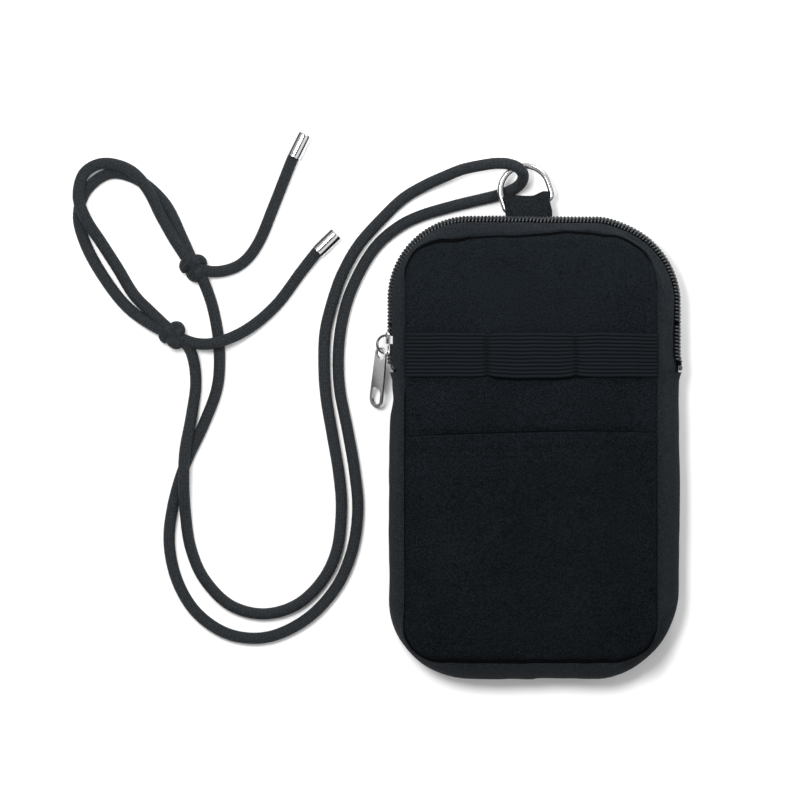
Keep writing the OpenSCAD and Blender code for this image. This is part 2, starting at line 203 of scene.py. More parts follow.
def tube(name, points, radii, count=16, squash=(1.0, 1.0), angle=50, round_ends=True):
    verts, faces, run = tube_parts(points, radii, count, squash, round_ends)
    obj = finish_mesh(name, verts, faces, None, angle)
    mesh = obj.data
    layer = mesh.uv_layers.new(name="weave")
    girth = TAU * float(np.max(radii))
    rows = len(run)
    for poly in mesh.polygons:
        ids = list(poly.vertices)
        ks = [v % count if v < rows * count else (v - rows * count) % count for v in ids]
        wrap = max(ks) - min(ks) > count / 2
        for loop, v, k in zip(poly.loop_indices, ids, ks):
            row = min(v // count, rows - 1)
            around = k + count if wrap and k < count / 2 else k
            layer.data[loop].uv = (run[row] * MM, around / count * girth * MM)
    return obj


def merged(name, parts, angle=50):
    verts, faces = [], []
    for part_verts, part_faces in parts:
        base = len(verts)
        verts.extend(part_verts)
        faces.extend(tuple(i + base for i in face) for face in part_faces)
    return finish_mesh(name, verts, faces, None, angle)


def catmull(a, b, c, d, t):
    """The point between b and c at t, on the smooth curve through all four."""
    return 0.5 * (2 * b + (c - a) * t + (2 * a - 5 * b + 4 * c - d) * t**2 + (3 * b - a - 3 * c + d) * t**3)


def smooth_line(points, step):
    """A Catmull-Rom line through the points, resampled to equal steps."""
    p = np.asarray(points, float)
    p = np.vstack([2 * p[0] - p[1], p, 2 * p[-1] - p[-2]])
    fine = []
    for a, b, c, d in zip(p, p[1:], p[2:], p[3:]):
        for t in np.linspace(0, 1, 24, endpoint=False):
            fine.append(catmull(a, b, c, d, t))
    fine.append(p[-2])
    fine = np.array(fine)
    run = np.concatenate([[0], np.cumsum(np.linalg.norm(np.diff(fine, axis=0), axis=1))])
    count = max(int(round(run[-1] / step)), 2)
    ticks = np.linspace(0, run[-1], count + 1)
    return np.stack([np.interp(ticks, run, fine[:, k]) for k in range(3)], axis=1)


# ---------------------------------------------------------------- materials
class Shade:
    """A node material, with short calls for the nodes it is made of."""

    def __init__(self, name, colour, roughness, metallic=0.0):
        self.material = bpy.data.materials.new(name)
        self.material.use_nodes = True
        self.tree = self.material.node_tree
        self.shader = self.tree.nodes["Principled BSDF"]
        self.shader.inputs["Base Color"].default_value = (*colour, 1)
        self.shader.inputs["Roughness"].default_value = roughness
        self.shader.inputs["Metallic"].default_value = metallic
        self.colour = colour

    def put(self, socket, value):
        if isinstance(value, (int, float, tuple)):
            socket.default_value = value
        else:
            self.tree.links.new(value, socket)

    def math(self, operation, *values):
        node = self.tree.nodes.new("ShaderNodeMath")
        node.operation = operation
        for socket, value in zip(node.inputs, values):
            self.put(socket, value)
        return node.outputs[0]

    def add(self, total, part, weight=1.0):
        """total plus weight times part."""
        if weight != 1.0:
            part = self.math("MULTIPLY", part, weight)
        return self.math("ADD", total, part)

    def wave(self, value, turns=1.0):
        """Rounded ridges, one for each unit of value, or for each turn."""
        return self.math("ABSOLUTE", self.math("SINE", self.math("MULTIPLY", value, math.pi * turns)))

    def object_space(self):
        return self.tree.nodes.new("ShaderNodeTexCoord").outputs["Object"]

    def weave_space(self):
        node = self.tree.nodes.new("ShaderNodeUVMap")
        node.uv_map = "weave"
        return node.outputs[0]

    def split(self, vector):
        node = self.tree.nodes.new("ShaderNodeSeparateXYZ")
        self.put(node.inputs[0], vector)
        return node.outputs[0], node.outputs[1], node.outputs[2]

    def stretch(self, vector, scale):
        node = self.tree.nodes.new("ShaderNodeMapping")
        self.put(node.inputs["Vector"], vector)
        node.inputs["Scale"].default_value = scale
        return node.outputs[0]

    def noise(self, vector, scale, detail=2.0, rough_=0.5):
        node = self.tree.nodes.new("ShaderNodeTexNoise")
        self.put(node.inputs["Vector"], vector)
        node.inputs["Scale"].default_value = scale
        node.inputs["Detail"].default_value = detail
        node.inputs["Roughness"].default_value = rough_
        return node.outputs["Fac"]

    def band(self, value, low, high, to_low, to_high):
        node = self.tree.nodes.new("ShaderNodeMapRange")
        for key, number in zip(("From Min", "From Max", "To Min", "To Max"), (low, high, to_low, to_high)):
            node.inputs[key].default_value = number
        self.put(node.inputs["Value"], value)
        return node.outputs[0]

    def tint(self, factor, low, high):
        """Colour between low and high times the material's own colour."""
        node = self.tree.nodes.new("ShaderNodeMix")
        node.data_type = "RGBA"
        self.put(node.inputs["Factor"], factor)
        node.inputs["A"].default_value = (*[min(c * low, 1) for c in self.colour], 1)
        node.inputs["B"].default_value = (*[min(c * high, 1) for c in self.colour], 1)
        self.tree.links.new(node.outputs["Result"], self.shader.inputs["Base Color"])

    def relief(self, height, depth, strength=1.0):
        node = self.tree.nodes.new("ShaderNodeBump")
        node.inputs["Strength"].default_value = strength
        node.inputs["Distance"].default_value = depth
        self.put(node.inputs["Height"], height)
        self.tree.links.new(node.outputs[0], self.shader.inputs["Normal"])

    def plain_weave(self, u, v):
        """Height of threads that pass over and under each other; one thread for each unit."""
        over, across = self.wave(u), self.wave(v)
        cells = self.math("ADD", self.math("FLOOR", u), self.math("FLOOR", v))
        turn = self.math("ABSOLUTE", self.math("MODULO", cells, 2.0))
        flip = self.math("SUBTRACT", 1.0, turn)
        return self.math("ADD", self.math("MULTIPLY", over, turn), self.math("MULTIPLY", across, flip)), turn


def fabric(name, colour, thread, uv=True, roughness=0.9, sheen=0.0, relief=0.3, contrast=0.45, painted_top_light=0.0):
    s = Shade(name, colour, roughness)
    s.shader.inputs["Sheen Weight"].default_value = sheen
    s.shader.inputs["Sheen Roughness"].default_value = 0.45
    s.shader.inputs["Specular IOR Level"].default_value = 0.04
    space = s.weave_space() if uv else s.object_space()
    u, v, _ = s.split(s.stretch(space, (1 / (thread * MM), 1 / (thread * MM), 1)))
    own = s.object_space()
    wobble = s.band(s.noise(own, 260.0, 2.0), 0, 1, -0.8, 0.8)
    height, turn = s.plain_weave(s.add(u, wobble), s.add(v, wobble))
    fibres = s.noise(own, 5200.0, 2.0, 0.7)
    specks = s.noise(own, 1400.0, 2.0, 0.8)
    patches = s.noise(own, 42.0, 3.0)
    mix = s.add(s.math("MULTIPLY", height, 0.25), turn, 0.5)
    mix = s.add(mix, s.math("SUBTRACT", specks, 0.5), 2.3)
    mix = s.add(mix, s.math("SUBTRACT", patches, 0.5), 0.3)
    if painted_top_light:  # painted light: a little paler towards the top, as if lit more strongly there
        _, height_up, _ = s.split(own)
        mix = s.add(mix, s.band(height_up, -0.02, 0.085, -painted_top_light, painted_top_light))
    s.tint(s.band(mix, 0.0, 0.75, 0, 1), 1 - contrast, 1 + contrast)
    s.put(s.shader.inputs["Roughness"], s.band(fibres, 0.3, 0.7, roughness - 0.08, min(roughness + 0.06, 1)))
    s.relief(s.add(height, fibres, 0.35), thread * relief * MM)
    return s.material


RIB = 1.45  # width of one rib of the elastic


def elastic_material(name, colour):
    s = Shade(name, colour, 0.82)
    s.shader.inputs["Specular IOR Level"].default_value = 0.06
    u, v, _ = s.split(s.stretch(s.weave_space(), (1 / (0.5 * MM), 1 / (RIB * MM), 1)))
    height, _ = s.plain_weave(u, s.math("MULTIPLY", v, 4.0))
    fibres = s.noise(s.object_space(), 4200.0, 2.0, 0.7)
    mix = s.add(s.math("MULTIPLY", height, 0.3), fibres, 0.35)
    # painted shade: the colour darkens into the groove between each pair of ribs
    mix = s.add(mix, s.math("POWER", s.wave(v), 0.5), 0.6)
    s.tint(s.band(mix, 0.25, 1.1, 0, 1), 0.04, 1.95)
    s.relief(height, 0.12 * MM)
    return s.material


def cord_material(name, colour):
    """A braided sheath: long thin diamonds that read as fine lengthwise ribs."""
    s = Shade(name, colour, 0.7)
    s.shader.inputs["Sheen Weight"].default_value = 0.02
    s.shader.inputs["Sheen Roughness"].default_value = 0.4
    s.shader.inputs["Specular IOR Level"].default_value = 0.12
    u, v, _ = s.split(s.stretch(s.weave_space(), (1 / (1.5 * MM), 30 / (math.pi * CORD_D * MM), 1)))
    height, turn = s.plain_weave(s.add(u, v), s.math("SUBTRACT", v, u))
    ribs = s.wave(v, 0.5)
    fibres = s.noise(s.stretch(s.weave_space(), (500.0, 2600.0, 1.0)), 1.0, 2.0, 0.6)
    mix = s.add(s.math("MULTIPLY", height, 0.3), s.math("SUBTRACT", fibres, 0.5), 1.1)
    mix = s.add(s.add(mix, turn, 0.12), ribs, 0.3)
    s.tint(s.band(mix, 0.0, 0.8, 0, 1), 0.12, 1.9)
    s.relief(s.add(height, ribs), 0.1 * MM)
    return s.material


def metal(name, colour, roughness, scratch=0.05, along=(90.0, 90.0, 90.0), wavy=0.6):
    s = Shade(name, colour, roughness, 1.0)
    own = s.object_space()
    lines = s.noise(s.stretch(own, along), 12.0, 4.0, 0.65)
    dull = s.noise(own, 160.0, 3.0)
    wear = s.add(s.math("MULTIPLY", lines, 0.6), dull, 0.4)
    s.tint(s.band(wear, 0.3, 0.7, 0, 1), 0.86, 1.08)
    smoothest, dullest = max(roughness - scratch, 0.03), roughness + scratch
    s.put(s.shader.inputs["Roughness"], s.band(wear, 0.3, 0.7, smoothest, dullest))
    s.relief(lines, 0.012 * MM, wavy)
    return s.material


def plastic(name, colour, roughness=0.38, gloss=0.3):
    s = Shade(name, colour, roughness)
    s.shader.inputs["Specular IOR Level"].default_value = gloss
    own = s.object_space()
    grain = s.noise(own, 900.0, 3.0)
    s.tint(s.band(grain, 0.3, 0.7, 0, 1), 0.7, 1.5)
    s.put(s.shader.inputs["Roughness"], s.band(grain, 0.3, 0.7, roughness - 0.08, roughness + 0.12))
    s.relief(grain, 0.03 * MM)
    return s.material


# the shell's colour carries painted light, paler towards the top
SHELL = fabric("shell_fabric", (0.0074, 0.0099, 0.0124), 0.46, uv=False, contrast=0.98, relief=0.6, painted_top_light=0.13)
GUSSET = fabric("gusset_fabric", (0.0098, 0.0128, 0.0158), 0.42, sheen=0.05, contrast=0.75)
LINING = fabric("lining_fabric", (0.014, 0.016, 0.019), 0.4, sheen=0.1, roughness=0.75)
BINDING = fabric("binding_tape", (0.008, 0.010, 0.012), 0.5, contrast=0.5)
TAPE = fabric("zip_tape", (0.006, 0.008, 0.010), 0.45, roughness=0.85)
WEBBING = fabric("webbing", (0.0135, 0.0155, 0.0175), 0.5, relief=0.5, contrast=0.7)
ELASTIC = elastic_material("elastic", (0.0055, 0.0072, 0.009))
CORD = cord_material("cord", (0.0155, 0.0185, 0.0212))
COIL = plastic("zip_coil", (0.013, 0.0155, 0.018), 0.3, gloss=0.5)
THREAD = plastic("thread", (0.0075, 0.0095, 0.0115), 0.75, gloss=0.04)
# painted shade: a near-black material for thin pieces that stand in for shade in grooves and gaps
PAINTED_SHADE = plastic("painted_shade", (0.0015, 0.0018, 0.0022), 0.85, gloss=0.02)
RING_METAL = metal("ring_metal", (0.5, 0.5, 0.51), 0.2, wavy=0.05)
SLIDER_METAL = metal("slider_metal", (0.74, 0.74, 0.75), 0.2, wavy=0.1)
# painted reflection: the slider's metal, coloured dark for the dark surroundings that the bail reflects
BAIL_METAL_PAINTED_DARK = metal("bail_metal_painted_reflection", (0.09, 0.09, 0.1), 0.25)
TAB_METAL = metal("pull_tab_metal", (0.82, 0.82, 0.81), 0.34, 0.08, (60.0, 400.0, 60.0))
TIP_METAL = metal("tip_metal", (0.62, 0.62, 0.63), 0.1)


def dress(obj, material):
    obj.data.materials.clear()
    obj.data.materials.append(material)
    return obj


def on_body(obj, body):
    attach(obj, body)
    return obj


def across_fold(obj):
    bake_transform(obj)
    return obj


def finish_piece(obj, material, slot_name, body, *stands_for):
    """Give a piece its material, the CAD nodes that it stands for and the body that carries it."""
    dress(obj, material)
    if stands_for:
        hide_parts(*stands_for)
    return on_body(obj, body) if body else across_fold(obj)


# ---------------------------------------------------------------- camera, light and floor
VIEW = (-52.5, 18.7)  # the point the camera is above
CAMERA_Z = 3.0  # metres
FRAME_W = 0.312  # width of the picture at the cord's height, in metres


def set_camera():
    data = bpy.data.cameras.new("camera")
    data.sensor_width = 36
    data.lens = 36 * (CAMERA_Z - 0.005) / FRAME_W
    data.clip_end = 20
    camera = bpy.data.objects.new("camera", data)
    camera.location = (VIEW[0] * MM, VIEW[1] * MM, CAMERA_Z)
    scene.collection.objects.link(camera)
    scene.camera = camera


def area_light(name, place, size, power, target=(VIEW[0] * MM, VIEW[1] * MM, 0)):
    data = bpy.data.lights.new(name, "AREA")
    data.shape = "DISK"
    data.size = size
    data.energy = power
    light = bpy.data.objects.new(name, data)
    light.location = place
    light.rotation_euler = (Vector(target) - Vector(place)).to_track_quat("-Z", "Y").to_euler()
    scene.collection.objects.link(light)


def set_light():
    scene.view_settings.view_transform = "Standard"
    scene.view_settings.look = "None"
    world = bpy.data.worlds.new("studio")
    world.use_nodes = True
    tree = world.node_tree
    back = tree.nodes["Background"]
    space = tree.nodes.new("ShaderNodeTexCoord")
    split = tree.nodes.new("ShaderNodeSeparateXYZ")
    ramp_node = tree.nodes.new("ShaderNodeValToRGB")
    tree.links.new(space.outputs["Generated"], split.inputs[0])
    tree.links.new(split.outputs[2], ramp_node.inputs[0])
    tree.links.new(ramp_node.outputs[0], back.inputs[0])
    stops = ramp_node.color_ramp.elements
    stops[0].position, stops[0].color = 0.0, (0.3, 0.3, 0.31, 1)
    stops[1].position, stops[1].color = 1.0, (0.22, 0.22, 0.22, 1)
    # bright softboxes at mid height, darker at the zenith and the horizon, for stripes in the metal
    for place, level in ((0.14, 0.1), (0.4, 0.16), (0.5, 1.0), (0.84, 1.0), (0.92, 0.3)):
        stop = stops.new(place)
        stop.color = (level, level, level, 1)
    # a little brighter from the right
    side = tree.nodes.new("ShaderNodeMath")
    side.operation = "MULTIPLY_ADD"
    tree.links.new(split.outputs[0], side.inputs[0])
    side.inputs[1].default_value = 0.4
    side.inputs[2].default_value = 0.92
    tree.links.new(side.outputs[0], back.inputs[1])
    scene.world = world
    area_light("key", (-0.22, 0.17, 0.66), 0.26, 4.5)
    area_light("top", (0.09, 0.25, 0.15), 0.09, 0.34, (0.0, 0.05, 0.0))


def set_floor():
    s = Shade("floor", (0.93, 0.93, 0.93), 0.9)
    s.tint(s.noise(s.object_space(), 3.0), 0.99, 1.01)
    mesh = bpy.data.meshes.new("floor")
    half = 6.0
    corners = [(-half, -half, 0), (half, -half, 0), (half, half, 0), (-half, half, 0)]
    mesh.from_pydata(corners, [], [(0, 1, 2, 3)])
    mesh.materials.append(s.material)
    floor = bpy.data.objects.new("floor", mesh)
    floor.location.z = -0.0002
    scene.collection.objects.link(floor)


set_camera()
set_light()
set_floor()

# ---------------------------------------------------------------- the neck cord
BIGHT = [
    (-17.9, 97.7, 2.4), (-14.2, 98.7, 2.4), (-9.7, 100.2, 3.1), (-5.9, 102.6, 5.2), (-4.5, 105.4, 8.1),
    (-5, 107.5, 10.2), (-7, 109.4, 11.4), (-10.7, 110.6, 11.8), (-15.2, 110.8, 11.3), (-20.1, 110.2, 10.2),
]
APEX = 4
STRAND_A = [
    (-28, 108.6, 7.6), (-35, 105.9, 5.2), (-43, 102.3, 3.1), (-51.2, 97.4, 2.4),
    (-59, 90, 2.3), (-68, 80, 2.3), (-74, 70, 2.3), (-78, 60, 2.3), (-81.6, 46, 2.3), (-82.2, 33, 2.3),
    (-81.4, 20, 2.3), (-78.9, 5, 2.3), (-76.4, -10, 2.3), (-75.4, -24, 2.3), (-77.2, -40, 2.3),
    (-83, -52, 2.3), (-93, -61.3, 2.3), (-106, -64.8, 2.3), (-119, -61.2, 2.3), (-129, -51, 2.3),
    (-134.2, -39, 2.4), (-136.2, -26, 3.5), (-136.8, -13, 6.9), (-136.3, -1, 6.7), (-134, 12, 3.1),
    (-132.2, 26, 2.3), (-134.3, 38, 4), (-140.7, 44.5, 5.4), (-149.5, 52.8, 3.6), (-156.5, 60, 2.5),
    (-162.6, 70, 2.5), (-169, 80, 3.4), (-174.8, 89, 6), (-177.9, 98, 6.7), (-175.6, 107.2, 5.5),
    (-168, 111, 5.2), (-158, 108.4, 6.2), (-151, 101, 6.8), (-145.4, 90, 4.6), (-139, 79, 5),
    (-132.6, 71, 5.4), (-124, 68.8, 3.2), (-114.6, 71.8, 2.3), (-107.8, 80, 2.3), (-101.5, 95, 2.3),
    (-94.2, 113.4, 3.1), (-90.2, 121.4, 3.1),
]
STRAND_B = [
    (-31, 94.6, 2.3), (-44, 90.8, 2.3), (-53, 86.4, 2.3), (-61.6, 79, 2.3),
    (-68.6, 68, 2.3), (-73.8, 55, 2.3), (-76.4, 40, 2.3), (-76.2, 24, 2.3), (-73.2, 8, 2.3),
    (-70.4, -8, 2.3), (-69, -24, 2.3), (-71.2, -40, 2.3), (-77.5, -54.5, 2.3), (-89, -66.8, 2.3),
    (-104, -73.8, 2.3), (-119, -72.8, 2.3), (-131.6, -64.6, 2.3), (-139.4, -52, 2.3), (-142.6, -37, 2.3),
    (-141, -22, 2.3), (-136.4, -6.5, 2.3), (-129, 9.5, 2.3), (-123.8, 24, 2.3), (-123.1, 39, 2.3),
    (-125.4, 54, 2.4), (-129.6, 66, 4.2), (-134, 74, 4.6), (-137.6, 82, 2.4), (-144, 95, 2.3),
    (-154, 104.2, 2.3), (-165.4, 107.2, 2.3), (-174.6, 101, 2.3), (-178, 91, 2.3), (-175.4, 80, 2.3),
    (-169, 68, 2.3), (-160, 56, 2.4), (-150.4, 48.6, 3.8), (-140.9, 44, 5.4), (-131.6, 40.7, 5.6),
    (-122.8, 41.4, 6.9), (-111.6, 46.6, 3.7), (-100.6, 56, 2.3), (-91.4, 68.2, 2.5),
    (-84.8, 76.6, 3.1), (-79.6, 81.7, 3.1),
]


def knot(name, centre, first_lobe, flip, node):
    """An overhand knot pulled tight: the cord makes three lobes round the strands that run through it."""
    points = []
    turn = math.radians(first_lobe - 30)
    steps = 72
    for i in range(steps + 1):
        a = TAU * (i - 3) / steps
        x = 1.25 * math.sin(a) + 2.3 * math.sin(2 * a)
        y = 1.25 * math.cos(a) - 2.3 * math.cos(2 * a)
        x, y = x * math.cos(turn) - y * math.sin(turn), x * math.sin(turn) + y * math.cos(turn)
        z = -1.75 * flip * math.sin(3 * a) + 0.5 * math.cos(2 * a + 1)
        points.append(np.array(centre) + np.array((x, y, z)))
    obj = tube(name, points[:-4], 2.32, 20)
    return finish_piece(obj, CORD, "cord", "pouch", node)


def ferrule(name, foot, yaw, node):
    """A plated tube crimped on the cord's end, with a rolled rim and a dimpled end."""
    way = np.array((math.cos(math.radians(yaw)), math.sin(math.radians(yaw)), 0))
    side = np.array((-way[1], way[0], 0))
    up = np.array((0, 0, 1.0))
    profile = [
        (0.9, 2.1), (0.15, 2.35), (0.0, 2.75), (0.08, 3.0), (0.3, 3.05), (0.55, 3.0), (0.68, 2.93),
        (0.9, 2.96), (1.5, 2.98), (5.0, 2.98), (9.3, 2.98), (9.85, 2.97), (10.1, 2.86), (10.2, 2.62),
        (10.16, 2.3), (10.0, 1.9), (9.9, 1.0), (9.88, 0.3),
    ]
    count = 48
    verts, faces = [], []
    for x, r in profile:
        for k in range(count):
            a = TAU * k / count
            verts.append(np.array(foot) + way * x + r * (math.cos(a) * side + math.sin(a) * up))
    faces += ring_faces(len(profile), count)
    faces.append(tuple(range(count)))
    faces.append(tuple(range((len(profile) - 1) * count, len(profile) * count)))
    obj = finish_mesh(name, verts, faces, None, 40)
    return finish_piece(obj, TIP_METAL, "tip_metal", "pouch", node)


def neck_cord():
    whole = list(reversed(STRAND_B)) + BIGHT + STRAND_A
    line = smooth_line(whole, 1.2)
    apex = int(np.argmin(np.linalg.norm(line - np.array(BIGHT[APEX]), axis=1)))
    back_to_b = line[: apex + 1][::-1]
    halves = (
        ("neck_cord_a", line[apex:], ("cord_strand_a",), "cord_tip_a", (-94.2, 113.4, 3.1), 63.5),
        ("neck_cord_b", back_to_b, ("cord_bight", "cord_strand_b"), "cord_tip_b", (-84.8, 76.6, 3.1), 44.5),
    )
    knots = {
        "neck_cord_a": knot("knot_upper_wrap", (-132.9, 70.4, 4.6), 45, 1, "knot_upper"),
        "neck_cord_b": knot("knot_lower_wrap", (-140.9, 44.0, 4.6), 60, -1, "knot_lower"),
    }
    for name, path, replaced, tip_node, foot, yaw in halves:
        obj = tube(name, path, CORD_D / 2, 18)
        dress(obj, CORD)
        tip = ferrule(tip_node + "_ferrule", foot, yaw, tip_node)
        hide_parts(*replaced)
        length = float(np.sum(np.linalg.norm(np.diff(path, axis=0), axis=1))) * MM
        print("cord", name, round(length, 4))
        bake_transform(obj)


neck_cord()


# ---------------------------------------------------------------- the pouch's outline
ARC = PATH_R * math.pi / 2
SIDE_UP = CORNER_Y - ZIP_END_Y
SIDE_DOWN = CORNER_Y + ZIP_END_Y
TOP_RUN = 2 * CORNER_X
RUNS = [
    ("line", (PATH_W, ZIP_END_Y), (0, 1), SIDE_UP),
    ("arc", (CORNER_X, CORNER_Y), 0, ARC),
    ("line", (CORNER_X, PATH_H), (-1, 0), TOP_RUN),
    ("arc", (-CORNER_X, CORNER_Y), 90, ARC),
    ("line", (-PATH_W, CORNER_Y), (0, -1), SIDE_UP + SIDE_DOWN),
    ("arc", (-CORNER_X, -CORNER_Y), 180, ARC),
    ("line", (-CORNER_X, -PATH_H), (1, 0), TOP_RUN),
    ("arc", (CORNER_X, -CORNER_Y), 270, ARC),
    ("line", (PATH_W, -CORNER_Y), (0, 1), SIDE_DOWN),
]
ZIP_RUN = 2 * SIDE_UP + 2 * ARC + TOP_RUN  # the zipped part, from the right end to the left
LOOP = sum(run[3] for run in RUNS)
SEAM_CORNERS = {0: 19.0, 90: 15.0, 180: 14.0, 270: 16.0}  # the seams turn tighter than the outline


def square_off(degrees, radius):
    """How far a seam corner of this radius lies outside the swept one, seen from its centre."""
    full = PATH_R + SEAM_OFF
    c, s = math.cos(math.radians(degrees)), math.sin(math.radians(degrees))
    inner = full - radius
    if c > 1e-6 and full * s / c <= inner:
        return full / c - full
    if s > 1e-6 and full * c / s <= inner:
        return full / s - full
    dot = inner * (c + s)
    return dot + math.sqrt(max(dot * dot - 2 * inner * inner + radius * radius, 0)) - full


def outline(s):
    """Point, outward normal and seam offset at a distance s along the swept line."""
    s = s % LOOP
    for kind, place, turn, length in RUNS:
        if s <= length or (kind, place, turn, length) == RUNS[-1]:
            break
        s -= length
    if kind == "line":
        x, y = place[0] + turn[0] * s, place[1] + turn[1] * s
        nx, ny = turn[1], -turn[0]
        extra = 0.0
    else:
        degrees = turn + math.degrees(s / PATH_R)
        nx, ny = math.cos(math.radians(degrees)), math.sin(math.radians(degrees))
        x, y = place[0] + PATH_R * nx, place[1] + PATH_R * ny
        extra = square_off(degrees - turn, SEAM_CORNERS[turn])
    # the filled pouch is rounder on its right side than the frame; the seam stays where it is
    trim = 0.0
    if x > 0:
        upper = ramp((y - 31) / 6) * ramp((nx + 0.2) / 0.6)
        lower = ramp((-38 - y) / 25) * ramp((nx + 0.3) / 0.6)
        diagonal = max(0.0, nx * abs(ny) * 2)
        trim = upper * (0.95 + 0.95 * diagonal) + lower * (0.5 + 1.0 * diagonal + 0.7 * ramp(nx))
    return x - nx * trim, y - ny * trim, nx, ny, extra + 0.85 * trim


def lean(x, z):
    """The filled pouch leans a little to the left towards its front."""
    return x - 1.5 * ramp((z - 11) / 8)


def chain_angle(s):
    """Where the chain lies round the gusset's section, in degrees above its middle."""
    nx = outline(s)[2]
    return CHAIN_ANGLE - CHAIN_TURN * ramp(max(nx, 0.0))


def tuck(x, y):
    """How far the left side is drawn in round the zip's open end."""
    if x > 0:
        return 0.0
    return 2.2 * ramp((33.6 - y) / 4) if y > ZIP_END_Y else 1.2 * ramp((y - 20.5) / 8.5)


def skin(s, angle, inset=0.0):
    """A point on the gusset: s along it, angle round its section from the outline."""
    x, y, nx, ny, extra = outline(s)
    near_seam = ramp((abs(angle) - 42) / (SEAM_ANGLE - 42))
    c, sn = math.cos(math.radians(angle)), math.sin(math.radians(angle))
    to_seam = math.radians(max(SEAM_ANGLE - abs(angle), 0)) * BULGE_R
    free = ramp((abs(angle - chain_angle(s)) - 16) / 14) if s % LOOP < ZIP_RUN + 2 else 1.0
    top = ramp((y - 60) / 15)
    low = ramp((-y - 55) / 20)
    # fabric gathers where it is sewn round a corner, and lies in soft waves between
    back = 0.45 if angle < 0 else 1.0
    depth = back * (0.16 + 0.3 * low + 0.2 * min(extra, 2))
    gather = depth * math.sin(TAU * s / 10.5 + 3 * rough(x, y, 0, 30, 1.7))
    near_edge = ramp((abs(angle) - 30) / 35) * ramp(to_seam / 1.2 + 0.25)
    gather *= near_edge * (0.45 + 1.1 * abs(rough(x, y, 0, 31, 5.5)))
    waves = 0.9 * rough(x, y, 14 * sn, 21, 4.1) + 0.35 * rough(x, y, 14 * sn, 8, 7.7)
    swell = free * (gather + waves * (0.55 + 0.3 * low))
    if x < 0:  # the left side is drawn in below the zip's end
        drawn_in = 1.5 * bump_at(y, 19.5, 5.5) + 0.55 * ramp((40 - y) / 30) * ramp((y + 30) / 30)
        swell -= drawn_in * (1 - near_seam)
    else:
        swell -= 0.75 * (1 - near_seam) * ramp((60 - abs(y)) / 20)
    swell -= tuck(x, y) * (1 - near_seam)
    radius = BULGE_R - inset + swell * (1 - 0.5 * near_seam)
    off = radius * c + extra * near_seam
    if angle > 0:
        off += near_seam * (1.7 * top * bump_at(x, 15, 13) + 0.7 * low - 1.7 * top * bump_at(x, -33, 9))
    z = HALF_T + radius * sn
    deep = 0.45 + 1.35 * bump_at(x, -38, 16) * top + 0.35 * top + 1.2 * low * ramp((50 - abs(x)) / 20)
    groove = deep * ramp(1 - to_seam / 1.5)
    z -= math.copysign(groove, angle)
    kink = abs((s / 11.0 + 0.8 * rough(x, y, 0, 40, 6.1)) % 1.0 - 0.5) * 2
    if angle > 0:
        uneven = 0.35 + 0.9 * abs(rough(x, y, 0, 26, 2.9))
        off += near_seam * uneven * (0.35 + 0.5 * ramp(extra)) * (kink - 0.5) * max(top, low, 0.2)
    return (lean(x + nx * off, z), y + ny * off, max(z, 0.0))


def sweep(name, start, end, low, high, step, cols, thick=GUSSET_T, inset=0.0, flare=None):
    """A strip of fabric along the outline between two angles of the section."""
    count = max(int(round((end - start) / step)), 2)
    outer, inner, uv = [], [], []
    for i in range(count + 1):
        s = start + (end - start) * i / count
        out = flare(s) if flare else 0.0
        row_out, row_in, row_uv = [], [], []
        for j in range(cols + 1):
            t = j / cols
            # columns crowd towards both edges, where the seams and folds are
            t = 0.5 - 0.5 * math.cos(math.pi * t) if cols > 6 else t
            turned = chain_angle(s) - CHAIN_ANGLE
            first, last = low + turned * (abs(low) < SEAM_ANGLE), high + turned * (abs(high) < SEAM_ANGLE)
            angle = first + (last - first) * t if name.startswith("strip") else low + (high - low) * t
            edge = min(j, cols - j)
            round_in = (0.3, 0.08)[edge] if edge < 2 else 0.0
            row_out.append(skin(s, angle, inset - out + round_in * thick))
            row_in.append(skin(s, angle, inset + thick * (1 - (0.3, 0.08)[edge] if edge < 2 else 1)))
            row_uv.append((s, math.radians(angle) * BULGE_R))
        outer.append(row_out)
        inner.append(row_in)
        uv.append(row_uv)
    return slab(name, outer, inner, uv)


def end_flare(s):
    """The lower gusset's sewn ends stand a little proud."""
    s = s % LOOP
    return 0.9 * ramp(1 - (s - ZIP_RUN) / 3.2) + 0.75 * ramp(1 - (LOOP - s) / 3.2)


def gusset():
    step = 1.6
    lower = sweep("gusset_lower", ZIP_RUN, LOOP, -SEAM_ANGLE, SEAM_ANGLE, step, 30, flare=end_flare)
    finish_piece(lower, GUSSET, "gusset_fabric", "pouch", "lower_gusset")
    inside = sweep("gusset_inside", ZIP_RUN + 0.5, LOOP - 0.5, -72, 72, 3.2, 14, 0.4, GUSSET_T + 0.1)
    finish_piece(inside, LINING, "lining_fabric", "pouch", "lower_gusset_lining")
    over = 2.0  # the strips run in under the lower gusset's ends
    start, end = -over, ZIP_RUN + over
    rear = sweep("strip_rear", start, end, -SEAM_ANGLE, CHAIN_ANGLE - STRIP_EDGE, step, 18, inset=0.15)
    finish_piece(rear, GUSSET, "gusset_fabric", "pouch", "rear_zip_strip")
    front = sweep("strip_front", start, end, CHAIN_ANGLE + STRIP_EDGE, SEAM_ANGLE, step, 14, inset=0.15)
    finish_piece(front, GUSSET, "gusset_fabric", None, "front_zip_strip_lower", "front_zip_strip_upper")


gusset()

# ---------------------------------------------------------------- the zip
TAPE_R = 9.0
TOOTH_PITCH = 1.4
SPLIT_Y = 40.4  # the rows part at the slider's post, on the left
TEETH_END_Y = 32.6  # the lowest teeth, above the stops
FOLD_Y, FOLD_GAP = 48.15, 0.12  # where the flap's hinge cuts the front row, and the gap there


